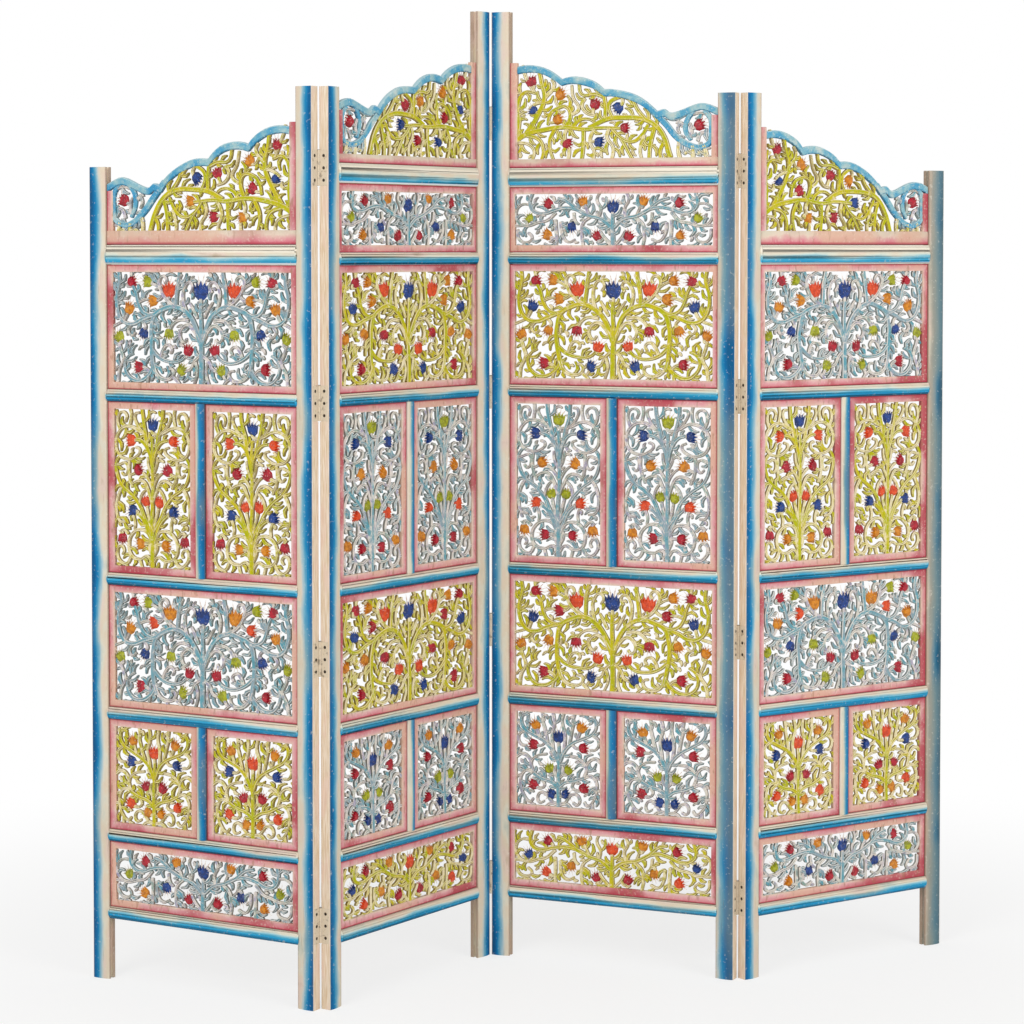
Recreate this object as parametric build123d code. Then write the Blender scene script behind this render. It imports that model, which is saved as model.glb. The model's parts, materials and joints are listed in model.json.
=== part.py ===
from build123d import *
import os

# Folding screen of four carved and pierced panels, hinged in a zig-zag, in millimetres, +Z up.
# Every panel is modelled in its own axes: X runs along it from the outer edge of its left post,
# Y runs from the crest of its rounded front (0) to its flat back (POST_DEPTH), and Z runs up.

# ------------------------------------------------------------------ driving dimensions
PANEL_WIDTH = 496.0
POST_WIDTH = 36.0
POST_DEPTH = 21.0
POST_END_CHAMFER = 1.5
FRONT_SWELL = 4.0  # how far the rounded front of a post, rail or muntin stands out
POST_OUTER_SWELL = 1.2  # the same at the outer edge of a post, which is flatter
RAIL_DEPTH = 19.0
RAIL_HEIGHT = 22.0
CROWN_RAIL_HEIGHT = 36.0
MUNTIN_WIDTH = 21.0

# Clear heights between the rails, from the floor up.
LEG_HEIGHT = 116.0
BOTTOM_OPENING = 125.0
SMALL_OPENING = 209.0
WIDE_LOWER_OPENING = 231.0
TALL_OPENING = 322.0
WIDE_UPPER_OPENING = 233.0
TOP_OPENING = 126.0

# The crowns: from the dip beside the volute up to the tall side, and the posts above them.
OUTER_CROWN_DIP = 107.0
OUTER_CROWN_TALL = 221.0
INNER_CROWN_DIP = 102.0
INNER_CROWN_TALL = 202.0
OUTER_POST_HORN = 32.0
MIDDLE_POST_HORN = 28.0
CENTRE_POST_HORN = 98.0

# Joinery: panes slide in grooves, rails are tenoned into the posts.
GROOVE_SETBACK = 7.8  # from the crest of the front
GROOVE_WIDTH = 6.4
GROOVE_DEPTH = 4.5
JOINT_GAP = 0.2  # all round a tongue or tenon
MORTISE_WALL = 1.2  # wood left between a mortise and the tips of the hinge screws
PANE_THICKNESS = 9.0
FRETWORK_THICKNESS = 7.6
PANE_GAP = 0.3  # between a pane and the edges of its opening

# Carving: plain borders round it, bands of stems and round buds.
PANE_BORDER = 14.0
OUTER_CROWN_FOOT = 27.0
INNER_CROWN_FOOT = 17.0
CROWN_RIM = 13.0
STEM_WIDTH = 8.0
BUD_WIDTH = 15.0
BUD_HEIGHT = 21.0
VOLUTE_RADIUS = 33.0
VOLUTE_BAND = 9.0

# Butt hinges.
HINGE_HEIGHT = 64.0
LEAF_THICKNESS = 1.5
LEAF_REACH = 18.5  # from the pin to the leaf's free edge
HINGE_OFFSET = 1.0  # from the pin's axis to the edge of the post
BACK_PIN_STANDOFF = 1.2  # from the back of the posts to the pin's axis
FRONT_PIN_STANDOFF = 0.8  # from the crest of the front to the pin's axis
PIN_RADIUS = 1.5
PIN_CLEARANCE = 0.05
PIN_HEAD_OVERHANG = 1.0
PIN_HEAD_HEIGHT = 1.2
PIN_HEAD_ROOM = 0.5  # above a pin's head, in the post
KNUCKLE_COUNT = 5
KNUCKLE_GAP = 0.3
KNUCKLE_SWEEP_GAP = 0.35  # from a knuckle to the plate it turns past
LEAF_GAP = 0.1  # round a leaf in its recess
LOW_HINGE_HEIGHT = 152.0
SECOND_HINGE_HEIGHT = 636.0
THIRD_HINGE_HEIGHT = 1098.0
MIDDLE_TOP_HINGE_DROP = 146.0  # from the top of the post
CENTRE_TOP_HINGE_DROP = 214.0

# Countersunk screws, three in each leaf.
SCREW_RADIUS = 1.4
SCREW_LENGTH = 13.0  # beyond the leaf
SCREW_HEAD_RADIUS = 2.9
SCREW_CLEARANCE = 0.08
SCREW_SPACING = 22.0
SCREW_SETBACK = 10.8  # from the pin's axis

# How the screen stands: the way panel 2 points, and the fold of each hinge line.
PANEL_2_HEADING = 54.6
LEFT_FOLD = 84.1
CENTRE_FOLD = 78.2
RIGHT_FOLD = 57.8

# ------------------------------------------------------------------ sizes worked out from them
KNUCKLE_RADIUS = HINGE_OFFSET + LEAF_THICKNESS
SWEPT_RADIUS = KNUCKLE_RADIUS + KNUCKLE_SWEEP_GAP
OPENING_WIDTH = PANEL_WIDTH - 2 * POST_WIDTH
HALF_OPENING_WIDTH = (OPENING_WIDTH - MUNTIN_WIDTH) / 2
TONGUE_LENGTH = GROOVE_DEPTH - JOINT_GAP
TENON_SHOULDER = GROOVE_DEPTH + 2 * JOINT_GAP
SCREW_REACH = LEAF_THICKNESS + SCREW_LENGTH + SCREW_CLEARANCE
TENON_LENGTH = POST_WIDTH - SCREW_REACH - MORTISE_WALL - JOINT_GAP
GROOVE_BACK = GROOVE_SETBACK + GROOVE_WIDTH
GROOVE_MIDDLE = GROOVE_SETBACK + GROOVE_WIDTH / 2
TONGUE_SPAN = (GROOVE_SETBACK + JOINT_GAP, GROOVE_BACK - JOINT_GAP)
PANE_SPAN = (GROOVE_MIDDLE - PANE_THICKNESS / 2, GROOVE_MIDDLE + PANE_THICKNESS / 2)
BORDER_OVERLAP = 3.0  # how far a stem runs into the plain border
CUT_MARGIN = 1.0  # how far a cutter runs past a face

OUTER_ROWS = (
    ("bottom", BOTTOM_OPENING),
    ("small_pair", SMALL_OPENING),
    ("wide_lower", WIDE_LOWER_OPENING),
    ("tall_pair", TALL_OPENING),
    ("wide_upper", WIDE_UPPER_OPENING),
)
INNER_ROWS = OUTER_ROWS + (("top", TOP_OPENING),)
PAIRED_ROWS = ("small_pair", "tall_pair")


def row_floors(rows):
    """The height of the sill of each opening, and then of the top of the crown rail."""
    sills = []
    z = LEG_HEIGHT
    for _, opening in rows:
        sills.append(z + RAIL_HEIGHT)
        z += RAIL_HEIGHT + opening
    return sills, z + CROWN_RAIL_HEIGHT


OUTER_SILLS, OUTER_CROWN_BASE = row_floors(OUTER_ROWS)
INNER_SILLS, INNER_CROWN_BASE = row_floors(INNER_ROWS)

# Heights along the crown's top edge, from the volute side to the tall side: the distance along it
# as a share of the opening, and the rise from the dip as a share of the whole rise.
VOLUTE_EDGE = ((0, 0.06), (0.083, 0.155), (0.21, 0), (0.255, 0.07), (0.29, 0.03))
LOBES = (
    ((0.29, 0.03), (0.41, 0.38), (0.54, 0.457)),
    ((0.54, 0.457), (0.625, 0.68), (0.75, 0.675)),
    ((0.75, 0.675), (0.83, 0.89), (0.965, 0.93)),
)
TALL_STEP = (0.965, 1.0)


def rise(dip, tall, share):
    return dip + share * (tall - dip)


def low_side(dip, tall):
    """The height of a crown where it meets the post on its volute side."""
    return rise(dip, tall, VOLUTE_EDGE[0][1])


OUTER_POST_HEIGHT = OUTER_CROWN_BASE + low_side(OUTER_CROWN_DIP, OUTER_CROWN_TALL) + OUTER_POST_HORN
MIDDLE_POST_HEIGHT = INNER_CROWN_BASE + low_side(INNER_CROWN_DIP, INNER_CROWN_TALL) + MIDDLE_POST_HORN
CENTRE_POST_HEIGHT = INNER_CROWN_BASE + INNER_CROWN_TALL + CENTRE_POST_HORN


# ------------------------------------------------------------------ basic shapes
def block(x_span, y_span, z_span):
    """A box between two values on each axis."""
    size = (x_span[1] - x_span[0], y_span[1] - y_span[0], z_span[1] - z_span[0])
    return Pos(x_span[0], y_span[0], z_span[0]) * Box(*size, align=(Align.MIN, Align.MIN, Align.MIN))


def rod(radius, z_span):
    """A round bar up Z between two heights."""
    low = (Align.CENTER, Align.CENTER, Align.MIN)
    return Pos(0, 0, z_span[0]) * Cylinder(radius, z_span[1] - z_span[0], align=low)


def bar(length, width, depth, left_swell=FRONT_SWELL):
    """A moulded bar up Z: flat back and sides, and a front that swells to a crest at Y = 0."""
    front_left = (0, left_swell)
    front_right = (width, FRONT_SWELL)
    back_left = (0, depth)
    back_right = (width, depth)
    crest = width / (1 + (FRONT_SWELL / left_swell) ** 0.5)
    front = ThreePointArc(front_left, (crest, 0), front_right)
    sides = Polyline(front_right, back_right, back_left, front_left)
    return extrude(make_face(front + sides), amount=length, dir=(0, 0, 1))


# ------------------------------------------------------------------ frame of one panel
def rail_spans(rows):
    """The lowest and highest point of each rail, from the floor up, ending with the crown rail."""
    spans = []
    z = LEG_HEIGHT
    for _, opening in rows:
        spans.append((z, z + RAIL_HEIGHT))
        z += RAIL_HEIGHT + opening
    spans.append((z, z + CROWN_RAIL_HEIGHT))
    return spans


def tenon_span(rail_span):
    return (rail_span[0] + TENON_SHOULDER, rail_span[1] - TENON_SHOULDER)


def make_post(height, rows, hinge_heights, pins_at_back):
    """A post with its inner edge at X = POST_WIDTH: groove, mortises, hinge recesses and pilot holes."""
    post = bar(height, POST_WIDTH, POST_DEPTH, POST_OUTER_SWELL)
    ends = post.faces().filter_by(Axis.Z)
    post = chamfer(ends.edges(), POST_END_CHAMFER)
    groove_x = (POST_WIDTH - GROOVE_DEPTH, POST_WIDTH + CUT_MARGIN)
    groove_y = (GROOVE_SETBACK, GROOVE_BACK)
    cutters = [block(groove_x, groove_y, (-CUT_MARGIN, height + CUT_MARGIN))]
    for span in rail_spans(rows):
        low, high = tenon_span(span)
        mortise_x = (POST_WIDTH - TENON_LENGTH - JOINT_GAP, POST_WIDTH)
        cutters.append(block(mortise_x, groove_y, (low - JOINT_GAP, high + JOINT_GAP)))
    for z in hinge_heights:
        cutters.append(hinge_place("left", pins_at_back, z) * hinge_recess())
    return post - cutters


def make_rail(span, has_lower_groove):
    """A rail between the posts, its tenons reaching into both."""
    height = span[1] - span[0]
    rail = Pos(POST_WIDTH, 0, span[1]) * Rot(0, 90, 0) * bar(OPENING_WIDTH, height, RAIL_DEPTH)
    tenon_x = (POST_WIDTH - TENON_LENGTH, PANEL_WIDTH - POST_WIDTH + TENON_LENGTH)
    rail += block(tenon_x, TONGUE_SPAN, tenon_span(span))
    opening_x = (POST_WIDTH, PANEL_WIDTH - POST_WIDTH)
    groove_y = (GROOVE_SETBACK, GROOVE_BACK)
    rail -= block(opening_x, groove_y, (span[1] - GROOVE_DEPTH, span[1] + CUT_MARGIN))
    if has_lower_groove:
        rail -= block(opening_x, groove_y, (span[0] - CUT_MARGIN, span[0] + GROOVE_DEPTH))
    return rail


def make_muntin(sill, opening):
    """The upright bar in the middle of a row of two panes, stub-tenoned into the rails' grooves."""
    left = (PANEL_WIDTH - MUNTIN_WIDTH) / 2
    right = left + MUNTIN_WIDTH
    muntin = Pos(left, 0, sill) * bar(opening, MUNTIN_WIDTH, RAIL_DEPTH)
    groove_y = (GROOVE_SETBACK, GROOVE_BACK)
    groove_z = (sill - CUT_MARGIN, sill + opening + CUT_MARGIN)
    muntin -= block((left - CUT_MARGIN, left + GROOVE_DEPTH), groove_y, groove_z)
    muntin -= block((right - GROOVE_DEPTH, right + CUT_MARGIN), groove_y, groove_z)
    stub_x = (left + TENON_SHOULDER, right - TENON_SHOULDER)
    stub_z = (sill - TONGUE_LENGTH, sill + opening + TONGUE_LENGTH)
    return muntin + block(stub_x, TONGUE_SPAN, stub_z)


# ------------------------------------------------------------------ carved patterns
# Points are shares of the carved field, from its left edge and from its top. Every pattern but the
# crown's is the same left and right of its middle, so only the left half is written.
WIDE_STEMS = (
    ((0.5, 0.5), (0.42, 0.31), (0.31, 0.29), (0.235, 0.44), (0.22, 0.66), (0.145, 0.86)),
    ((0.5, 1), (0.465, 0.86), (0.43, 0.715)),
    ((0.5, 1), (0.44, 0.96), (0.39, 0.89)),
    ((0.42, 0.31), (0.395, 0.15), (0.42, 0)),
    ((0.31, 0.29), (0.30, 0.15), (0.31, 0)),
    ((0.235, 0.44), (0.205, 0.26), (0.17, 0)),
    ((0.235, 0.44), (0.16, 0.38), (0.075, 0.34)),
    ((0, 0.27), (0.075, 0.34), (0.09, 0.09), (0.10, 0)),
    ((0.22, 0.66), (0.165, 0.58), (0.10, 0.55), (0, 0.64)),
    ((0.22, 0.66), (0.31, 0.565), (0.40, 0.56), (0.5, 0.5)),
    ((0.31, 0.565), (0.315, 0.78), (0.26, 1)),
    ((0, 0.90), (0.145, 0.86), (0.13, 1)),
)
WIDE_BUDS = (
    (0.31, 0.17),
    (0.09, 0.09),
    (0.205, 0.26),
    (0.075, 0.34),
    (0.165, 0.58),
    (0.31, 0.565),
    (0.43, 0.715),
    (0.39, 0.89),
    (0.145, 0.86),
)
WIDE_MIDDLE_BUD = 0.16

SHORT_STEMS = (
    ((0.5, 1), (0.44, 0.66), (0.385, 0.40), (0.36, 0)),
    ((0.385, 0.40), (0.33, 0.48), (0.29, 0.65), (0.30, 1)),
    ((0.29, 0.65), (0.25, 0.38), (0.17, 0.18), (0.15, 0)),
    ((0.25, 0.38), (0.17, 0.42), (0.08, 0.50), (0, 0.46)),
    ((0.17, 0.42), (0.205, 0.62), (0.17, 0.81), (0.18, 1)),
    ((0.08, 0.50), (0.05, 0.75), (0.07, 1)),
    ((0.5, 1), (0.43, 0.81)),
)
SHORT_BUDS = ((0.365, 0.14), (0.17, 0.18), (0.08, 0.50), (0.29, 0.65), (0.17, 0.81), (0.43, 0.81))
SHORT_MIDDLE_BUD = 0.22

TALL_STEMS = (
    ((0.5, 0.42), (0.38, 0.27), (0.22, 0.18), (0.20, 0)),
    ((0.5, 0.62), (0.42, 0.45), (0.30, 0.37), (0.10, 0.36), (0, 0.30)),
    ((0.5, 0.78), (0.41, 0.572)),
    ((0.5, 0.88), (0.38, 0.74), (0.23, 0.653), (0, 0.60)),
    ((0.5, 1), (0.35, 0.845), (0.10, 0.83), (0, 0.88)),
    ((0.10, 0.83), (0.16, 0.92), (0.12, 1)),
    ((0.22, 0.18), (0.08, 0.13), (0, 0.14)),
)
TALL_BUDS = ((0.22, 0.18), (0.30, 0.37), (0.41, 0.572), (0.23, 0.653), (0.10, 0.83), (0.35, 0.845))
TALL_MIDDLE_BUD = 0.09

SMALL_STEMS = (
    ((0.5, 0.68), (0.36, 0.40), (0.22, 0.17), (0.18, 0)),
    ((0.36, 0.40), (0.18, 0.385), (0, 0.34)),
    ((0.5, 0.82), (0.37, 0.60)),
    ((0.5, 0.92), (0.34, 0.84), (0.19, 0.77), (0, 0.72)),
    ((0.5, 1), (0.40, 0.86)),
    ((0.19, 0.77), (0.22, 0.90), (0.18, 1)),
    ((0.22, 0.17), (0.08, 0.12), (0, 0.16)),
)
SMALL_BUDS = ((0.22, 0.17), (0.18, 0.385), (0.37, 0.60), (0.19, 0.77), (0.40, 0.86))
SMALL_MIDDLE_BUD = 0.246

# The crown's points are shares of the opening's width, from the volute side, and of the crown's
# tall side, from its base.
CROWN_STEMS = (
    ((1, 0.10), (0.91, 0.28), (0.79, 0.325), (0.65, 0.33), (0.56, 0.355), (0.45, 0.355)),
    ((0.56, 0.355), (0.57, 0.46), (0.605, 0.575), (0.60, 0.75)),
    ((0.45, 0.355), (0.485, 0.535), (0.47, 0.70)),
    ((0.45, 0.355), (0.36, 0.42), (0.28, 0.30), (0.24, 0.05)),
    ((0.36, 0.42), (0.36, 0.52), (0.40, 0.60)),
    ((0.91, 0.28), (0.86, 0.40), (0.775, 0.435), (0.69, 0.50), (0.605, 0.575)),
    ((0.96, 0.18), (0.93, 0.38), (0.89, 0.535), (0.83, 0.62), (0.765, 0.68), (0.74, 0.85)),
    ((0.89, 0.535), (0.93, 0.68), (0.905, 0.80), (0.88, 0.98)),
    ((0.93, 0.68), (1, 0.66)),
    ((0.79, 0.325), (0.72, 0.225), (0.70, 0.05)),
    ((0.65, 0.33), (0.575, 0.22), (0.56, 0.05)),
    ((0.36, 0.42), (0.37, 0.25), (0.34, 0.05)),
    ((0.37, 0.25), (0.45, 0.20), (0.47, 0.05)),
    ((0.91, 0.28), (0.85, 0.18), (0.84, 0.05)),
    ((0.29, 0.52), (0.21, 0.30), (0.13, 0.22)),
    ((0.06, 0.24), (0.05, 0.05)),
    ((0.12, 0.24), (0.135, 0.05)),
    ((0.095, 0.37), (0.095, 0.20)),
)
CROWN_BUDS = (
    (0.095, 0.39),
    (0.485, 0.535),
    (0.45, 0.355),
    (0.605, 0.575),
    (0.575, 0.22),
    (0.765, 0.68),
    (0.905, 0.80),
    (0.89, 0.535),
    (0.775, 0.435),
    (0.72, 0.225),
)
VOLUTE_CENTRE = (0.095, 0.37)


def stem(points):
    """A flat band that follows a smooth line through the points."""
    line = Line(*points) if len(points) == 2 else Spline(*points)
    return trace(line, line_width=STEM_WIDTH)


def bud(point):
    return Pos(*point) * Ellipse(BUD_WIDTH / 2, BUD_HEIGHT / 2)


def mirrored(stems, buds):
    """Both halves of a pattern."""
    right_stems = [[(1 - u, v) for u, v in points] for points in stems]
    right_buds = [(1 - u, v) for u, v in buds]
    return list(stems) + right_stems, list(buds) + right_buds


def stretched(points, width, height):
    """Shares of a field, from its top left, turned into places on it."""
    return [(u * width, (1 - v) * height) for u, v in points]


def fretwork(width, height, stems, buds, middle_bud):
    """The flat outline of a symmetric pattern on a field of this size."""
    all_stems, all_buds = mirrored(stems, buds)
    all_stems.append([(0.5, 0), (0.5, 1)])
    all_buds.append((0.5, middle_bud))
    shapes = [stem(stretched(points, width, height)) for points in all_stems]
    shapes += [bud(point) for point in stretched(all_buds, width, height)]
    return shapes[0] + shapes[1:]


def upright(flat, y_span):
    """A flat outline stood up on the panel, X and Z being its own two axes."""
    return Pos(0, y_span[0], 0) * extrude(Plane.XZ * flat, amount=y_span[1] - y_span[0], dir=(0, 1, 0))


def fret_span():
    return (GROOVE_MIDDLE - FRETWORK_THICKNESS / 2, GROOVE_MIDDLE + FRETWORK_THICKNESS / 2)


def make_pane(width, height, stems, buds, middle_bud):
    """A pierced pane for an opening whose lower left corner is at X = 0, Z = 0."""
    body_x = (PANE_GAP, width - PANE_GAP)
    body_z = (PANE_GAP, height - PANE_GAP)
    tongue_x = (-TONGUE_LENGTH, width + TONGUE_LENGTH)
    tongue_z = (-TONGUE_LENGTH, height + TONGUE_LENGTH)
    pane = block(body_x, PANE_SPAN, body_z) + block(tongue_x, TONGUE_SPAN, tongue_z)
    field_x = (PANE_BORDER, width - PANE_BORDER)
    field_z = (PANE_BORDER, height - PANE_BORDER)
    past_faces = (PANE_SPAN[0] - CUT_MARGIN, PANE_SPAN[1] + CUT_MARGIN)
    pane -= block(field_x, past_faces, field_z)
    carving = fretwork(width - 2 * PANE_BORDER, height - 2 * PANE_BORDER, stems, buds, middle_bud)
    fret = Pos(PANE_BORDER, 0, PANE_BORDER) * upright(carving, fret_span())
    reach_x = (field_x[0] - BORDER_OVERLAP, field_x[1] + BORDER_OVERLAP)
    reach_z = (field_z[0] - BORDER_OVERLAP, field_z[1] + BORDER_OVERLAP)
    return pane + (fret & block(reach_x, past_faces, reach_z))


def crown_edge(dip, tall, left, right, drop):
    """The scalloped top edge between two places along the opening, lowered by drop."""
    def place(point):
        return (left + point[0] * (right - left), rise(dip, tall, point[1]) - drop)

    volute = Spline(*[place(point) for point in VOLUTE_EDGE])
    lobes = [ThreePointArc(*[place(point) for point in lobe]) for lobe in LOBES]
    step = Line(place(LOBES[-1][-1]), place(TALL_STEP))
    top = Line(place(TALL_STEP), place((1, TALL_STEP[1])))
    return [volute, *lobes, step, top]


def crown_face(dip, tall, left, right, base, drop):
    """The flat outline under the scalloped edge, down to the base."""
    edges = crown_edge(dip, tall, left, right, drop)
    start = edges[0] @ 0
    end = edges[-1] @ 1
    edges.append(Polyline((end.X, end.Y), (right, base), (left, base), (start.X, start.Y)))
    return make_face(Curve() + edges)


def make_crown(dip, tall, foot):
    """A pierced crown with its volute at X = 0 and its tall side at X = OPENING_WIDTH."""
    body = crown_face(dip, tall, PANE_GAP, OPENING_WIDTH - PANE_GAP, PANE_GAP, 0)
    crown = upright(body, PANE_SPAN)
    across = (-TONGUE_LENGTH, OPENING_WIDTH + TONGUE_LENGTH)
    low_edge = (across[0], PANE_BORDER)
    tall_edge = (OPENING_WIDTH - PANE_BORDER, across[1])
    crown += block(across, TONGUE_SPAN, (-TONGUE_LENGTH, PANE_BORDER))
    crown += block(low_edge, TONGUE_SPAN, (0, low_side(dip, tall) - CROWN_RIM))
    crown += block(tall_edge, TONGUE_SPAN, (0, tall - PANE_GAP))
    past_faces = (PANE_SPAN[0] - CUT_MARGIN, PANE_SPAN[1] + CUT_MARGIN)
    field = crown_face(dip, tall, PANE_BORDER, OPENING_WIDTH - PANE_BORDER, foot, CROWN_RIM)
    crown -= upright(field, past_faces)
    centre = (VOLUTE_CENTRE[0] * OPENING_WIDTH, VOLUTE_CENTRE[1] * tall)
    volute = Pos(*centre) * (Circle(VOLUTE_RADIUS) - Circle(VOLUTE_RADIUS - VOLUTE_BAND))
    shapes = [volute]
    shapes += [stem([(u * OPENING_WIDTH, v * tall) for u, v in points]) for points in CROWN_STEMS]
    shapes += [bud((u * OPENING_WIDTH, v * tall)) for u, v in CROWN_BUDS]
    reach = crown_face(
        dip,
        tall,
        PANE_BORDER - BORDER_OVERLAP,
        OPENING_WIDTH - PANE_BORDER + BORDER_OVERLAP,
        foot - BORDER_OVERLAP,
        CROWN_RIM - BORDER_OVERLAP,
    )
    fret = upright(shapes[0] + shapes[1:], fret_span())
    return crown + (fret & upright(reach, past_faces))


# ------------------------------------------------------------------ hinges
# A hinge is modelled about its pin, which runs up Z through the origin. Its leaf lies on the edge
# of a post at positive X and runs from the pin in positive Y.
def pin_point(side, pins_at_back):
    """A hinge line on a panel, seen from above."""
    x = -HINGE_OFFSET if side == "left" else PANEL_WIDTH + HINGE_OFFSET
    y = POST_DEPTH + BACK_PIN_STANDOFF if pins_at_back else -FRONT_PIN_STANDOFF
    return Vector(x, y, 0)


def hinge_place(side, pins_at_back, z):
    """Where the pin of a hinge lies on a panel, and how the leaf is turned to meet that post."""
    turns = {
        ("left", False): Rot(0, 0, 0),
        ("left", True): Rot(180, 0, 0),
        ("right", False): Rot(0, 180, 0),
        ("right", True): Rot(0, 0, 180),
    }
    return Pos(pin_point(side, pins_at_back)) * Pos(0, 0, z) * turns[(side, pins_at_back)]


def knuckle_span(number):
    pitch = HINGE_HEIGHT / KNUCKLE_COUNT
    low = number * pitch - HINGE_HEIGHT / 2
    return (low + KNUCKLE_GAP / 2, low + pitch - KNUCKLE_GAP / 2)


def screw_heights():
    return (-SCREW_SPACING, 0, SCREW_SPACING)


def make_screw(clearance):
    """A countersunk screw through the leaf along +X, or the hole for it."""
    head_depth = LEAF_THICKNESS + clearance
    head = Cone(
        SCREW_HEAD_RADIUS + clearance,
        SCREW_RADIUS + clearance,
        head_depth,
        align=(Align.CENTER, Align.CENTER, Align.MIN),
    )
    shank = rod(SCREW_RADIUS + clearance, (0, LEAF_THICKNESS + SCREW_LENGTH + clearance))
    face = HINGE_OFFSET
    return Pos(face, SCREW_SETBACK, 0) * Rot(0, 90, 0) * (head + shank)


def make_screws():
    return [Pos(0, 0, z) * make_screw(0) for z in screw_heights()]


def make_leaf(own_first):
    """One leaf of a hinge, with every other knuckle from number own_first."""
    half = HINGE_HEIGHT / 2
    leaf = block((HINGE_OFFSET, KNUCKLE_RADIUS), (0, LEAF_REACH), (-half, half))
    for number in range(KNUCKLE_COUNT):
        low, high = knuckle_span(number)
        if number % 2 == own_first:
            leaf += rod(KNUCKLE_RADIUS, (low, high))
        else:
            swept = (low - KNUCKLE_GAP, high + KNUCKLE_GAP)
            leaf -= rod(SWEPT_RADIUS, swept)
    leaf -= rod(PIN_RADIUS + PIN_CLEARANCE, (-HINGE_HEIGHT, HINGE_HEIGHT))
    holes = [Pos(0, 0, z) * make_screw(SCREW_CLEARANCE) for z in screw_heights()]
    return leaf - holes


def make_pin():
    half = HINGE_HEIGHT / 2
    head = rod(PIN_RADIUS + PIN_HEAD_OVERHANG, (half, half + PIN_HEAD_HEIGHT))
    return rod(PIN_RADIUS, (-half, half)) + head


def hinge_recess():
    """What a hinge takes out of its post: the bed of the leaf, room to turn and three pilot holes."""
    half = HINGE_HEIGHT / 2 + LEAF_GAP
    bed_x = (HINGE_OFFSET - CUT_MARGIN, KNUCKLE_RADIUS)
    bed = block(bed_x, (-CUT_MARGIN, LEAF_REACH + LEAF_GAP), (-half, half))
    past_head = HINGE_HEIGHT / 2 + PIN_HEAD_HEIGHT + PIN_HEAD_ROOM
    pilots = [Pos(0, 0, z) * make_screw(SCREW_CLEARANCE) for z in screw_heights()]
    return bed + rod(SWEPT_RADIUS, (-past_head, past_head)) + pilots


def hinge_line(post_height, top_drop):
    """The heights of the four hinges of one fold."""
    return (LOW_HINGE_HEIGHT, SECOND_HINGE_HEIGHT, THIRD_HINGE_HEIGHT, post_height - top_drop)


MIDDLE_HINGES = hinge_line(MIDDLE_POST_HEIGHT, MIDDLE_TOP_HINGE_DROP)
CENTRE_HINGES = hinge_line(CENTRE_POST_HEIGHT, CENTRE_TOP_HINGE_DROP)


# ------------------------------------------------------------------ panels
def opposite_hand(piece):
    """A piece for the left of a panel, made for the right."""
    return Pos(PANEL_WIDTH, 0, 0) * mirror(piece, about=Plane.YZ)


def make_panel_frame(rows):
    """The rails and muntins of a panel."""
    spans = rail_spans(rows)
    rails = [make_rail(span, number > 0) for number, span in enumerate(spans)]
    muntins = []
    for (name, opening), (_, rail_top) in zip(rows, spans):
        if name in PAIRED_ROWS:
            muntins.append(make_muntin(rail_top, opening))
    return rails, muntins


def make_panes():
    """One pane of each kind, in the axes of its own opening."""
    wide = (WIDE_STEMS, WIDE_BUDS, WIDE_MIDDLE_BUD)
    short = (SHORT_STEMS, SHORT_BUDS, SHORT_MIDDLE_BUD)
    small = (SMALL_STEMS, SMALL_BUDS, SMALL_MIDDLE_BUD)
    high = (TALL_STEMS, TALL_BUDS, TALL_MIDDLE_BUD)
    return {
        "bottom": make_pane(OPENING_WIDTH, BOTTOM_OPENING, *short),
        "small_pair": make_pane(HALF_OPENING_WIDTH, SMALL_OPENING, *small),
        "wide_lower": make_pane(OPENING_WIDTH, WIDE_LOWER_OPENING, *wide),
        "tall_pair": make_pane(HALF_OPENING_WIDTH, TALL_OPENING, *high),
        "wide_upper": make_pane(OPENING_WIDTH, WIDE_UPPER_OPENING, *wide),
        "top": make_pane(OPENING_WIDTH, TOP_OPENING, *short),
    }


def place_panes(panes, rows, sills):
    """The panes of one panel by name, each a list of solids."""
    placed = {}
    right_of_muntin = POST_WIDTH + HALF_OPENING_WIDTH + MUNTIN_WIDTH
    for (name, _), sill in zip(rows, sills):
        starts = (POST_WIDTH, right_of_muntin) if name in PAIRED_ROWS else (POST_WIDTH,)
        placed["pane_" + name] = [Pos(x, 0, sill) * panes[name] for x in starts]
    return placed


def crown_pieces(crown, base, tall_at_right):
    at_left = Pos(POST_WIDTH, 0, base) * crown
    return [at_left if tall_at_right else opposite_hand(at_left)]


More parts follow.
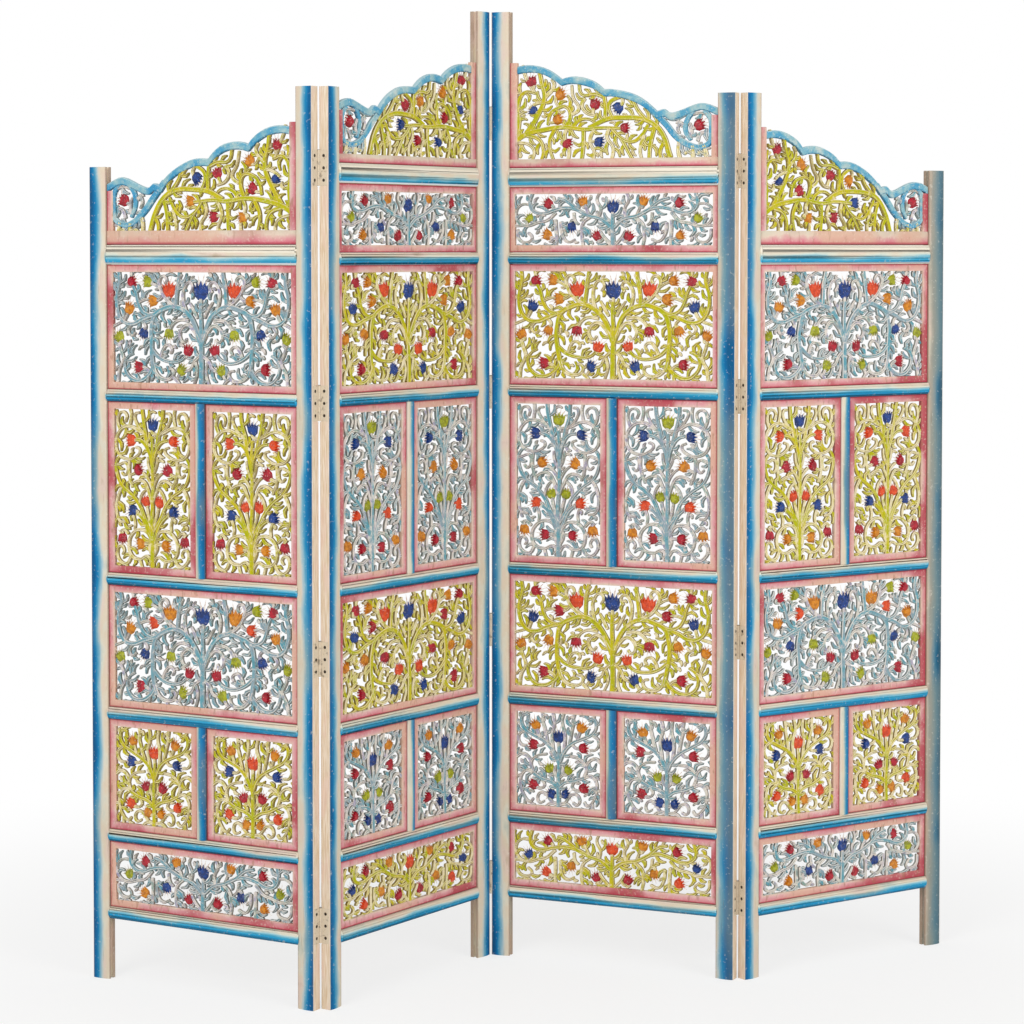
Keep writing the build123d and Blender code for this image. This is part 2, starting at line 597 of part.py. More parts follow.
def make_panels():
    """The wooden pieces of the four panels, each panel in its own axes."""
    outer_post = make_post(OUTER_POST_HEIGHT, OUTER_ROWS, (), False)
    outer_middle_post = make_post(MIDDLE_POST_HEIGHT, OUTER_ROWS, MIDDLE_HINGES, True)
    inner_middle_post = make_post(MIDDLE_POST_HEIGHT, INNER_ROWS, MIDDLE_HINGES, True)
    centre_post = make_post(CENTRE_POST_HEIGHT, INNER_ROWS, CENTRE_HINGES, False)
    outer_rails, outer_muntins = make_panel_frame(OUTER_ROWS)
    inner_rails, inner_muntins = make_panel_frame(INNER_ROWS)
    outer_crown = make_crown(OUTER_CROWN_DIP, OUTER_CROWN_TALL, OUTER_CROWN_FOOT)
    inner_crown = make_crown(INNER_CROWN_DIP, INNER_CROWN_TALL, INNER_CROWN_FOOT)
    panes = make_panes()
    outer = {"rails": outer_rails, "muntins": outer_muntins} | place_panes(panes, OUTER_ROWS, OUTER_SILLS)
    inner = {"rails": inner_rails, "muntins": inner_muntins} | place_panes(panes, INNER_ROWS, INNER_SILLS)
    posts = {
        1: (outer_post, outer_middle_post),
        2: (inner_middle_post, centre_post),
        3: (centre_post, inner_middle_post),
        4: (outer_middle_post, outer_post),
    }
    panels = {}
    for number, (left, right) in posts.items():
        is_outer = number in (1, 4)
        crown, base = (outer_crown, OUTER_CROWN_BASE) if is_outer else (inner_crown, INNER_CROWN_BASE)
        pieces = {"left_post": [left], "right_post": [opposite_hand(right)]}
        pieces["crown"] = crown_pieces(crown, base, number in (1, 2))
        pieces |= outer if is_outer else inner
        panels[number] = pieces
    return panels


# Each fold: its name, the panel that holds the pins and the side it is on, the panel that turns on
# them, whether the pins are at the back, and the heights of its hinges.
FOLDS = (
    ("left_hinge", (2, "left"), (1, "right"), True, MIDDLE_HINGES),
    ("centre_hinge", (2, "right"), (3, "left"), False, CENTRE_HINGES),
    ("right_hinge", (3, "right"), (4, "left"), True, MIDDLE_HINGES),
)


def add_hinges(panels, placings):
    """The leaves, pins and screws of the three folds, as nodes that stand in the screen's axes."""
    nodes = {}
    pin = make_pin()
    screws = make_screws()
    for name, holder, turner, pins_at_back, heights in FOLDS:
        for (number, side), own_first in ((holder, 0), (turner, 1)):
            leaf = make_leaf(own_first)
            places = [placings[number] * hinge_place(side, pins_at_back, z) for z in heights]
            nodes[f"{name}_leaves_panel_{number}"] = [place * leaf for place in places]
            placed_screws = [place * screw for place in places for screw in screws]
            nodes[f"{name}_screws_panel_{number}"] = placed_screws
        number, side = holder
        upright_pin = placings[number] * Pos(pin_point(side, pins_at_back))
        nodes[f"{name}_pins"] = [upright_pin * Pos(0, 0, z) * pin for z in heights]
    return nodes


# ------------------------------------------------------------------ how the panels stand
def turned(heading, target, local_point):
    """The placing that turns a panel to a heading and brings a point of it to the target."""
    offset = local_point.rotate(Axis.Z, heading)
    return Pos(target - offset) * Rot(0, 0, heading)


def placing_of_panels():
    """The four placings, with the hinge line in the middle at the origin."""
    headings = {
        1: PANEL_2_HEADING - LEFT_FOLD,
        2: PANEL_2_HEADING,
        3: PANEL_2_HEADING - CENTRE_FOLD,
        4: PANEL_2_HEADING - CENTRE_FOLD + RIGHT_FOLD,
    }
    placings = {}
    placings[2] = turned(headings[2], Vector(0, 0, 0), pin_point("right", False))
    placings[3] = turned(headings[3], Vector(0, 0, 0), pin_point("left", False))
    left_line = (placings[2] * Pos(pin_point("left", True))).position
    right_line = (placings[3] * Pos(pin_point("right", True))).position
    placings[1] = turned(headings[1], left_line, pin_point("right", True))
    placings[4] = turned(headings[4], right_line, pin_point("left", True))
    return placings


def build_nodes():
    """Every node of the screen, with the middle of its footprint at the origin."""
    panels = make_panels()
    placings = placing_of_panels()
    posts = []
    for number, pieces in panels.items():
        posts += [placings[number] * post for post in pieces["left_post"] + pieces["right_post"]]
    footprint = Compound(children=posts).bounding_box()
    centring = Pos(-footprint.center().X, -footprint.center().Y, 0)
    placings = {number: centring * placing for number, placing in placings.items()}
    nodes = {}
    for number, pieces in panels.items():
        for name, solids in pieces.items():
            nodes[f"panel_{number}_{name}"] = [placings[number] * solid for solid in solids]
    return nodes | add_hinges(panels, placings), placings


def report_lines(placings):
    """Print where the hinge lines stand, for whoever describes the joints."""
    for name, (number, side), _, pins_at_back, heights in FOLDS:
        line = (placings[number] * Pos(pin_point(side, pins_at_back))).position
        print(f"{name} at x {line.X:.3f}, y {line.Y:.3f}, hinges at {heights}")


def main():
    nodes, placings = build_nodes()
    os.makedirs("parts", exist_ok=True)
    for name, solids in nodes.items():
        singles = [single for solid in solids for single in solid.solids()]
        export_step(Compound(children=singles), f"parts/{name}.step")
    report_lines(placings)


main()
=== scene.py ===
import json
import math

import bpy
from mathutils import Matrix, Vector, kdtree, noise


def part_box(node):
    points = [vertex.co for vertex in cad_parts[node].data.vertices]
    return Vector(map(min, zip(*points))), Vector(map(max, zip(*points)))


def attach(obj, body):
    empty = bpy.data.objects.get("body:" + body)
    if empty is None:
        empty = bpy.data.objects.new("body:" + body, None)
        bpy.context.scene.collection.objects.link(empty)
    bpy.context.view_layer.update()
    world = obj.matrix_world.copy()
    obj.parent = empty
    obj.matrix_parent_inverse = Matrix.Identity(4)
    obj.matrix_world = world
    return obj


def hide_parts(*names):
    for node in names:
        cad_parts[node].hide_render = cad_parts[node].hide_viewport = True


# Finish and carving of a four-panel folding screen, in metres. Bars are modelled standing up, with
# X across them, Y from front to back and Z along them. Panes are modelled lying flat on the bench,
# with X across them, Y up them and Z towards their front, and are stood up when they are finished.
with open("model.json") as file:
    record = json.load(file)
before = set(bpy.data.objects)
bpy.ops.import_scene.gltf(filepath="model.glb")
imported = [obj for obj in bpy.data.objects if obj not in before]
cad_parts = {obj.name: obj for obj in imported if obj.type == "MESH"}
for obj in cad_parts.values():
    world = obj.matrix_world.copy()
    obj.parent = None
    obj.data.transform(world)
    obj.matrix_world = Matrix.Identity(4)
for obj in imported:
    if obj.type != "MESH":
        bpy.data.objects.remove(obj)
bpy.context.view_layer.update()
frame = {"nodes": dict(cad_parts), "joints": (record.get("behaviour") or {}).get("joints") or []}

MM = 0.001

# ------------------------------------------------------------------ sizes, in millimetres
# Posts, rails and muntins.
PANEL_WIDTH = 496.0
POST_WIDTH = 36.0
POST_DEPTH = 21.0
FRONT_SWELL = 4.0  # how far a bar's rounded front falls back towards its edges
POST_OUTER_SWELL = 1.2  # and towards a post's outer edge
RAIL_DEPTH = 19.0
RAIL_HEIGHT = 22.0
CROWN_RAIL_HEIGHT = 36.0
MUNTIN_WIDTH = 21.0
LEG_HEIGHT = 116.0
RAIL_LAP = 2.2  # how far a rail's rounded ends lie over the posts
RAIL_STRAIGHT = 1.0  # the last straight length, which keeps the shading of the end off the bar
RAIL_END = 2.4  # the length of the rounded end
RAIL_END_SIZE = (0.86, 0.84)  # how large its end is against the bar
RAIL_END_MIDDLE = 0.6  # the share of the bar's depth that it narrows towards

# The openings between the rails, from the bottom up.
OUTER_ROWS = (
    ("bottom", 125.0),
    ("small_pair", 209.0),
    ("wide_lower", 231.0),
    ("tall_pair", 322.0),
    ("wide_upper", 233.0),
)
INNER_ROWS = OUTER_ROWS + (("top", 126.0),)

# Panes and crowns, and the grooves that hold them.
GROOVE_SETBACK = 7.8
GROOVE_WIDTH = 6.4
GROOVE_DEPTH = 4.5
PANE_THICKNESS = 9.0
PANE_GAP = 0.3
BORDER = 14.0
SIDE_BORDERS = {"outer": 13.0, "inner": 10.5}  # at the two ends of a pane as wide as its panel
RIM_THICKNESS = 9.6
CROWN_RIM = 14.5
TALL_SIDE = 15.5  # the plain board that stands at a crown's tall side
SIDE_BOARD_THICKNESS = PANE_THICKNESS - 0.4  # so that a crown's foot stands a little proud of it
BOARD_LAP = 2.0  # how far a crown's side boards run into its foot and its rim

# Carving.
FRET_THICKNESS = 7.6
VEIN_DEPTH = 0.9  # the groove down the middle of every stroke
LEVEL_DROP = 0.008  # how much lower each next stroke of a carving lies than the one before
STROKE_BASE = 2.6  # a stroke is cut to this width and a share of its drawn width
STROKE_SHARE = 0.85
CARVING_WANDER = 2.6  # the most that a carved line strays from the drawn one
WANDER_LENGTH = 48.0  # over what length it strays and comes back
WANDER_FADE = 12.0  # how near the border it stops straying
WANDER_SEED = 1  # unseeded, the noise and so the carving would differ from run to run

# Edges.
EDGE_ROUNDING = 0.9
RIM_ROUNDING = 2.6
FRET_ROUNDING = 1.5
CUT_PAST = 2.0  # how far a cutter runs past what it cuts
DOUBLE_DISTANCE = 0.001  # points nearer to each other than this are merged

OPENING_WIDTH = PANEL_WIDTH - 2 * POST_WIDTH
HALF_OPENING_WIDTH = (OPENING_WIDTH - MUNTIN_WIDTH) / 2
PANE_MIDDLE = GROOVE_SETBACK + GROOVE_WIDTH / 2

# Hinges: leaves let into the posts, and the pins they turn on.
HINGE_HEIGHT = 64.0
HINGE_OFFSET = 1.0
LEAF_THICKNESS = 1.5
LEAF_REACH = 18.5
LEAF_GAP = 0.1
SWEPT_RADIUS = 2.85
BACK_PIN_DEPTH = 22.2
FRONT_PIN_DEPTH = -0.8
LOWER_HINGES = (152.0, 636.0, 1098.0)
MIDDLE_TOP_HINGE_DROP = 146.0  # from the top of a post to the middle of its top hinge
CENTRE_TOP_HINGE_DROP = 214.0
PIN_HEAD_ROOM = 1.7  # beyond a hinge's ends

# How the panels stand: the fold each hangs on, where that hinge line is in the panel's own axes, and
# the way the panel points, in degrees.
HANGS_ON = {
    1: ("left_fold", PANEL_WIDTH + HINGE_OFFSET, BACK_PIN_DEPTH),
    2: ("centre_fold", PANEL_WIDTH + HINGE_OFFSET, FRONT_PIN_DEPTH),
    3: ("centre_fold", -HINGE_OFFSET, FRONT_PIN_DEPTH),
    4: ("right_fold", -HINGE_OFFSET, BACK_PIN_DEPTH),
}
HEADINGS = {1: -29.5, 2: 54.6, 3: -23.6, 4: 34.2}


def node_height(node):
    """The height in millimetres of a solid that stands on the floor."""
    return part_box(node)[1].z / MM


OUTER_POST_HEIGHT = node_height("panel_1_left_post")
MIDDLE_POST_HEIGHT = node_height("panel_1_right_post")
CENTRE_POST_HEIGHT = node_height("panel_2_right_post")
MIDDLE_HINGES = LOWER_HINGES + (MIDDLE_POST_HEIGHT - MIDDLE_TOP_HINGE_DROP,)
CENTRE_HINGES = LOWER_HINGES + (CENTRE_POST_HEIGHT - CENTRE_TOP_HINGE_DROP,)
POST_KINDS = {
    1: ("outer_post", "middle_post"),
    2: ("middle_post", "centre_post"),
    3: ("centre_post", "middle_post"),
    4: ("middle_post", "outer_post"),
}
# The posts whose paint differs from that of the others.
POST_PAINTS = {"panel_3_right_post": "blue_post", "panel_4_right_post": "darker_post"}
RIGHT_PANELS = (3, 4)  # their crowns are the other hand


def panel_matrix(number):
    """Takes a point in a panel's own axes, in metres, to its place in the screen."""
    joint_name, pin_x, pin_y = HANGS_ON[number]
    line = next(joint["pos_m"] for joint in frame["joints"] if joint["name"] == joint_name)
    to_line = Matrix.Translation((line[0], line[1], 0))
    turn = Matrix.Rotation(math.radians(HEADINGS[number]), 4, "Z")
    return to_line @ turn @ Matrix.Translation((-pin_x * MM, -pin_y * MM, 0))


# ------------------------------------------------------------------ carved patterns
# A stroke is the widths it is carved to, in millimetres from its root to its tip, and the points
# it runs through, as shares of the carved field from its left edge and from its top. Only the left
# half of a pane's pattern is drawn, and the trunk up its middle. A bud is its place, the way it
# opens in degrees to the right of up, and its size against the usual one.
WIDE_TRUNK = (
    ((10, 8, 5), (0.5, 1.02), (0.5, 0.62), (0.5, 0.27)),
)
WIDE_STROKES = (
    ((8, 8, 7), (0.497, 0.66), (0.465, 0.48), (0.415, 0.36), (0.35, 0.31), (0.285, 0.335),
     (0.236, 0.39), (0.218, 0.50), (0.215, 0.64), (0.223, 0.80), (0.235, 0.93)),
    ((7, 5), (0.245, 0.375), (0.17, 0.425), (0.105, 0.47), (0.052, 0.44), (0.024, 0.35),
     (0.02, 0.22), (0.036, 0.10), (0.03, -0.02)),
    ((7, 3), (0.228, 0.86), (0.20, 0.935), (0.145, 0.985), (0.092, 0.955), (0.066, 0.87),
     (0.078, 0.78), (0.115, 0.735)),
    ((6, 4), (0.225, 0.40), (0.17, 0.365), (0.142, 0.28), (0.130, 0.19), (0.112, 0.12)),
    ((6, 3), (0.225, 0.82), (0.25, 0.93), (0.295, 0.97), (0.338, 0.945), (0.342, 0.885),
     (0.315, 0.87)),
    ((6, 4), (0.220, 0.70), (0.26, 0.765), (0.32, 0.805), (0.385, 0.79), (0.418, 0.74)),
    ((6, 3), (0.36, 0.315), (0.30, 0.24), (0.268, 0.15), (0.262, 0.07), (0.285, 0.035),
     (0.305, 0.075), (0.293, 0.11)),
    ((6, 3), (0.49, 0.62), (0.455, 0.515), (0.42, 0.475), (0.39, 0.515), (0.383, 0.59),
     (0.405, 0.625), (0.42, 0.59)),
    ((6, 5), (0.36, 0.315), (0.365, 0.20), (0.372, 0.10), (0.38, -0.02)),
    ((5, 3), (0.415, 0.36), (0.40, 0.25), (0.405, 0.15), (0.435, 0.09), (0.455, 0.13),
     (0.44, 0.19)),
    ((5, 4), (0.49, 0.75), (0.46, 0.80), (0.44, 0.87), (0.40, 0.895)),
    ((5, 4), (0.43, 0.44), (0.375, 0.43), (0.34, 0.47), (0.325, 0.52)),
    ((5, 4), (0.022, 1.02), (0.03, 0.90), (0.055, 0.80), (0.04, 0.71), (0.028, 0.64)),
    ((5, 3), (0.27, 0.77), (0.285, 0.70), (0.31, 0.66), (0.335, 0.69), (0.325, 0.735)),
    ((4, 5, 2), (0.48, 0.42), (0.455, 0.33), (0.435, 0.27)),
    ((4, 3), (0.105, 0.47), (0.085, 0.53), (0.105, 0.575), (0.125, 0.545)),
    ((4, 3), (0.05, 0.81), (0.08, 0.78)),
    ((4, 3), (0.16, 0.43), (0.185, 0.49), (0.175, 0.53)),
    ((4, 3), (0.142, 0.28), (0.19, 0.25), (0.215, 0.255)),
    ((4, 4), (0.20, 0.935), (0.19, 1.02)),
    ((4, 4), (0.295, 0.97), (0.30, 1.02)),
    ((4, 4), (-0.01, 0.50), (0.05, 0.455)),
    ((4, 4), (0.34, 0.945), (0.37, 0.99), (0.38, 1.02)),
    ((4, 3), (0.268, 0.15), (0.235, 0.11), (0.205, 0.095)),
    ((4, 4), (0.105, 0.05), (0.10, -0.02)),
    ((3, 6, 3), (0.36, 0.16), (0.375, 0.06), (0.39, 0.02)),
    ((4, 3), (0.465, 0.80), (0.475, 0.90), (0.455, 1.02)),
)
WIDE_BUDS = (
    (0.5, 0.17, 0, 1.45),
    (0.317, 0.165, 0, 1.35),
    (0.106, 0.09, 60, 1),
    (0.195, 0.085, -80, 0.95),
    (0.225, 0.26, -95, 1),
    (0.09, 0.33, 20, 1),
    (0.03, 0.59, -30, 0.95),
    (0.17, 0.55, -160, 0.95),
    (0.317, 0.555, 180, 1),
    (0.425, 0.70, 15, 1),
    (0.147, 0.86, -90, 1),
    (0.39, 0.88, 30, 1),
)

SHORT_TRUNK = (
    ((9, 7, 4), (0.5, 1.04), (0.5, 0.66), (0.5, 0.38)),
)
SHORT_STROKES = (
    ((6, 5), (0.495, 0.66), (0.446, 0.50), (0.38, 0.43), (0.32, 0.31), (0.262, 0.13),
     (0.218, 0.085)),
    ((6, 5), (0.38, 0.43), (0.285, 0.27), (0.205, 0.31), (0.155, 0.38), (0.105, 0.35),
     (0.08, 0.22), (0.09, -0.04)),
    ((5, 3), (0.21, 0.36), (0.166, 0.53), (0.122, 0.57), (0.063, 0.63), (0.018, 0.56),
     (0.004, 0.35), (0.033, 0.205), (0.077, 0.20)),
    ((5, 4), (0.207, 0.50), (0.21, 0.845), (0.21, 1.04)),
    ((4, 3), (0.01, 0.68), (0.018, 0.88), (0.055, 0.94), (0.085, 0.86), (0.063, 0.75)),
    ((5, 3), (0.233, 0.55), (0.24, 0.80), (0.27, 0.93), (0.31, 0.88)),
    ((4, 3), (0.38, 0.43), (0.365, 0.28), (0.345, 0.12)),
    ((5, 4), (0.39, 0.45), (0.35, 0.6), (0.345, 0.8), (0.35, 1.04)),
    ((5, 3), (0.49, 1.0), (0.45, 0.82), (0.435, 0.72)),
    ((4, 4), (0.05, 0.93), (0.05, 1.04)),
    ((4, 3), (0.43, 0.48), (0.44, 0.30), (0.42, 0.12), (0.435, -0.04)),
    ((4, 3), (-0.01, 0.62), (0.04, 0.62)),
    ((4, 3), (0.30, 0.36), (0.31, 0.55), (0.33, 0.62)),
    ((4, 3), (0.16, 0.42), (0.12, 0.42), (0.115, 0.47)),
)
SHORT_BUDS = (
    (0.5, 0.25, 0, 1.15),
    (0.345, 0.14, -10, 0.9),
    (0.17, 0.19, -60, 0.9),
    (0.074, 0.48, -30, 0.85),
    (0.289, 0.65, 180, 0.9),
    (0.163, 0.81, -60, 0.9),
    (0.42, 0.825, -30, 0.9),
)

TALL_TRUNK = (
    ((9, 7, 6, 4), (0.5, 1.02), (0.495, 0.75), (0.505, 0.5), (0.5, 0.17)),
)
TALL_STROKES = (
    ((6, 5, 4), (0.497, 0.78), (0.41, 0.70), (0.33, 0.61), (0.22, 0.54), (0.10, 0.49),
     (0.03, 0.42), (0.02, 0.34), (0.06, 0.30)),
    ((6, 5), (0.503, 0.37), (0.46, 0.27), (0.38, 0.205), (0.29, 0.19)),
    ((5, 5), (0.45, 0.255), (0.42, 0.17), (0.38, 0.08), (0.36, -0.02)),
    ((6, 5), (0.495, 0.86), (0.44, 0.77), (0.38, 0.70), (0.30, 0.66)),
    ((5, 4), (0.47, 0.90), (0.44, 0.79), (0.34, 0.765), (0.22, 0.80), (0.18, 0.86),
     (0.22, 0.93), (0.33, 0.95), (0.43, 0.93), (0.49, 0.97)),
    ((5, 3), (0.37, 0.15), (0.20, 0.11), (0.07, 0.14), (0.02, 0.21), (0.05, 0.28),
     (0.16, 0.315), (0.28, 0.30), (0.34, 0.255), (0.28, 0.235)),
    ((5, 3), (0.498, 0.60), (0.44, 0.51), (0.38, 0.455), (0.30, 0.455), (0.22, 0.47),
     (0.19, 0.42)),
    ((5, 3), (0.10, 0.49), (0.04, 0.56), (0.02, 0.64), (0.06, 0.71), (0.14, 0.72)),
    ((5, 4), (0.495, 0.78), (0.455, 0.69), (0.425, 0.62)),
    ((4, 3), (0.5, 0.5), (0.43, 0.43), (0.37, 0.40)),
    ((4, 4), (0.19, 0.32), (0.19, 0.42), (0.24, 0.50)),
    ((5, 3), (0.22, 0.93), (0.15, 0.985), (0.07, 0.97), (0.03, 0.91), (0.07, 0.875),
     (0.12, 0.90), (0.10, 0.93)),
    ((4, 3), (0.07, 0.14), (0.04, 0.07), (0.09, 0.02), (0.16, 0.04), (0.14, 0.09)),
    ((4, 4), (0.2, 0.11), (0.22, 0.04), (0.20, -0.02)),
    ((4, 3), (0.42, 0.17), (0.30, 0.10), (0.27, 0.03), (0.33, 0.02)),
    ((4, 3), (-0.01, 0.36), (0.06, 0.35), (0.14, 0.34), (0.17, 0.38), (0.13, 0.42),
     (0.08, 0.40)),
    ((4, 3), (0.18, 0.80), (0.10, 0.77), (0.07, 0.79)),
    ((4, 4), (0.33, 0.95), (0.36, 1.02)),
    ((4, 4), (0.15, 0.985), (0.16, 1.02)),
    ((4, 3), (0.24, 0.67), (0.27, 0.73), (0.26, 0.77)),
    ((4, 4), (-0.01, 0.62), (0.03, 0.62)),
    ((4, 4), (-0.01, 0.20), (0.03, 0.20)),
    ((4, 4), (-0.01, 0.93), (0.04, 0.93)),
    ((4, 2), (0.5, 0.42), (0.45, 0.36), (0.44, 0.30)),
    ((4, 3), (0.33, 0.61), (0.36, 0.54), (0.42, 0.50)),
    ((4, 3), (0.5, 0.235), (0.43, 0.215), (0.40, 0.15)),
    ((3, 5, 2), (0.40, 0.70), (0.36, 0.66), (0.36, 0.62)),
    ((3, 5, 2), (0.49, 0.93), (0.455, 0.88), (0.455, 0.83)),
)
TALL_BUDS = (
    (0.5, 0.10, 0, 1.1),
    (0.22, 0.195, -90, 1),
    (0.31, 0.385, 55, 1),
    (0.41, 0.585, -20, 0.95),
    (0.235, 0.645, -75, 1),
    (0.09, 0.825, 180, 0.95),
    (0.335, 0.855, -90, 0.95),
)

SMALL_TRUNK = (
    ((8, 7, 4), (0.5, 1.02), (0.495, 0.75), (0.505, 0.35)),
)
SMALL_STROKES = (
    ((6, 5), (0.495, 0.80), (0.425, 0.746), (0.30, 0.713), (0.195, 0.664)),
    ((6, 4), (0.503, 0.54), (0.43, 0.40), (0.34, 0.32), (0.2, 0.25), (0.09, 0.19),
     (0.05, 0.10), (0.09, 0.03), (0.15, 0.05)),
    ((5, 3), (0.195, 0.664), (0.168, 0.55), (0.24, 0.475), (0.37, 0.45)),
    ((5, 3), (0.195, 0.664), (0.12, 0.64), (0.06, 0.69), (0.045, 0.80), (0.09, 0.92),
     (0.16, 0.97), (0.2, 0.93)),
    ((4, 4), (0.27, 0.28), (0.24, 0.2), (0.22, 0.16)),
    ((4, 3), (0.34, 0.32), (0.30, 0.36), (0.22, 0.36)),
    ((5, 3), (0.37, 0.33), (0.33, 0.18), (0.31, 0.08), (0.34, 0.03), (0.37, 0.07)),
    ((5, 4), (-0.01, 0.50), (0.06, 0.46), (0.14, 0.5), (0.17, 0.56)),
    ((4, 4), (0.495, 0.90), (0.44, 0.89)),
    ((4, 3), (0.42, 0.96), (0.30, 0.86), (0.25, 0.90), (0.27, 0.97), (0.33, 0.95)),
    ((5, 4), (0.5, 0.98), (0.40, 0.97), (0.33, 1.03)),
    ((4, 4), (0.10, 0.94), (0.09, 1.03)),
    ((4, 4), (-0.01, 0.80), (0.05, 0.80)),
    ((4, 4), (0.32, 0.10), (0.30, -0.03)),
    ((4, 3), (0.10, 0.20), (0.02, 0.27), (0.05, 0.36), (0.12, 0.37)),
    ((4, 4), (-0.01, 0.27), (0.03, 0.29)),
    ((5, 4), (0.44, 0.41), (0.42, 0.22), (0.45, 0.10), (0.43, -0.03)),
    ((3, 5, 2), (0.495, 0.70), (0.45, 0.64), (0.46, 0.56)),
    ((4, 3), (0.08, 0.06), (0.07, -0.03)),
    ((4, 3), (0.30, 0.72), (0.33, 0.78), (0.30, 0.82)),
)
SMALL_BUDS = (
    (0.5, 0.25, 0, 1.15),
    (0.22, 0.14, -20, 0.95),
    (0.195, 0.355, -80, 0.95),
    (0.39, 0.60, -25, 0.9),
    (0.195, 0.785, -60, 0.95),
    (0.41, 0.87, -70, 0.9),
)

# A crown's points are shares of the opening's width, from its volute, and of the height of its tall
# side, from its base. Its strokes run over the whole crown, and nothing of them is mirrored.
CROWN_STROKES = (
    ((9, 8, 5), (0.99, 0.24), (0.924, 0.32), (0.84, 0.358), (0.74, 0.383), (0.634, 0.358),
     (0.573, 0.371), (0.46, 0.36)),
    ((9, 8), (0.225, 0.08), (0.267, 0.308), (0.313, 0.408), (0.374, 0.459), (0.466, 0.465),
     (0.542, 0.446), (0.618, 0.371)),
    ((8, 7, 6), (0.924, 0.327), (0.87, 0.484), (0.832, 0.672), (0.847, 0.80), (0.86, 0.92)),
    ((7, 4), (0.97, 0.28), (0.958, 0.446), (0.962, 0.609), (0.93, 0.72), (0.87, 0.70)),
    ((7, 6), (0.542, 0.43), (0.538, 0.559), (0.546, 0.72)),
    ((6, 5), (0.40, 0.58), (0.435, 0.653), (0.496, 0.634), (0.523, 0.572), (0.504, 0.45)),
    ((6, 5), (0.34, 0.44), (0.385, 0.546), (0.405, 0.64)),
    ((6, 4), (0.546, 0.66), (0.588, 0.691), (0.649, 0.697), (0.664, 0.80)),
    ((6, 4), (0.725, 0.39), (0.706, 0.50), (0.724, 0.575), (0.771, 0.565), (0.805, 0.509),
     (0.817, 0.40)),
    ((7, 5), (0.641, 0.37), (0.643, 0.245), (0.653, 0.05)),
    ((6, 4), (0.70, 0.37), (0.664, 0.446), (0.618, 0.459), (0.59, 0.43)),
    ((6, 4), (0.511, 0.37), (0.466, 0.27), (0.405, 0.232), (0.366, 0.283), (0.33, 0.40)),
    ((6, 5), (0.466, 0.27), (0.435, 0.17), (0.40, 0.05)),
    ((6, 5), (0.30, 0.40), (0.324, 0.207), (0.328, 0.05)),
    ((6, 5), (0.25, 0.25), (0.275, 0.16), (0.27, 0.05)),
    ((6, 4), (0.78, 0.37), (0.809, 0.245), (0.786, 0.05)),
    ((7, 4), (0.92, 0.31), (0.863, 0.27), (0.84, 0.17), (0.85, 0.05)),
    ((5, 3), (0.96, 0.245), (0.908, 0.22), (0.885, 0.15), (0.90, 0.05)),
    ((5, 4), (0.588, 0.37), (0.611, 0.245), (0.59, 0.14), (0.60, 0.05)),
    ((6, 3), (0.832, 0.66), (0.786, 0.779), (0.80, 0.84)),
    ((5, 4), (0.634, 0.66), (0.65, 0.60), (0.63, 0.52), (0.588, 0.49)),
    ((5, 4), (0.52, 0.37), (0.53, 0.27), (0.50, 0.17), (0.51, 0.05)),
    ((5, 4), (0.72, 0.38), (0.735, 0.30), (0.71, 0.16), (0.72, 0.05)),
    ((5, 3), (0.835, 0.62), (0.88, 0.60), (0.91, 0.56)),
    ((5, 3), (0.70, 0.50), (0.665, 0.56), (0.69, 0.66), (0.70, 0.78)),
    ((5, 3), (0.35, 0.30), (0.37, 0.16), (0.36, 0.05)),
    ((4, 4), (0.93, 0.50), (0.99, 0.55)),
    ((4, 4), (0.94, 0.71), (0.99, 0.72)),
    ((5, 4), (0.88, 0.70), (0.93, 0.90), (0.94, 0.98)),
)
VOLUTE_STROKES = (
    ((12, 11, 9, 9, 8), (0.315, 0.53), (0.25, 0.40), (0.19, 0.26), (0.13, 0.18), (0.078, 0.175),
     (0.042, 0.22), (0.034, 0.32), (0.036, 0.43), (0.065, 0.51)),
    ((9, 8, 6), (0.115, 0.51), (0.145, 0.43), (0.152, 0.32), (0.13, 0.23)),
)
VOLUTE_FILLING = (
    ((6, 4), (0.153, 0.484), (0.206, 0.44), (0.25, 0.46)),
    ((5, 4), (0.135, 0.25), (0.125, 0.33), (0.135, 0.40)),
    ((5, 4), (0.10, 0.22), (0.085, 0.29), (0.06, 0.31)),
    ((5, 3), (0.17, 0.42), (0.19, 0.36), (0.18, 0.30)),
    ((4, 3), (0.05, 0.47), (0.09, 0.485), (0.12, 0.47)),
)
VOLUTE_ROOTS = (
    ((7, 6), (0.055, 0.05), (0.06, 0.13), (0.07, 0.20)),
    ((7, 6), (0.125, 0.05), (0.12, 0.12), (0.125, 0.19)),
    ((6, 5), (0.18, 0.05), (0.19, 0.15), (0.185, 0.24)),
    ((5, 3), (0.06, 0.10), (0.085, 0.13), (0.10, 0.10)),
    ((5, 3), (0.12, 0.10), (0.145, 0.13), (0.165, 0.11)),
)
CROWN_BUDS = (
    (0.088, 0.375, -60, 1.05),
    (0.478, 0.555, 135, 1),
    (0.444, 0.368, -90, 0.95),
    (0.588, 0.60, -20, 1),
    (0.567, 0.235, -100, 0.95),
    (0.767, 0.46, -60, 1),
    (0.755, 0.69, -50, 1),
    (0.72, 0.225, -100, 0.95),
    (0.89, 0.545, 60, 0.85),
    (0.897, 0.815, 20, 1),
)

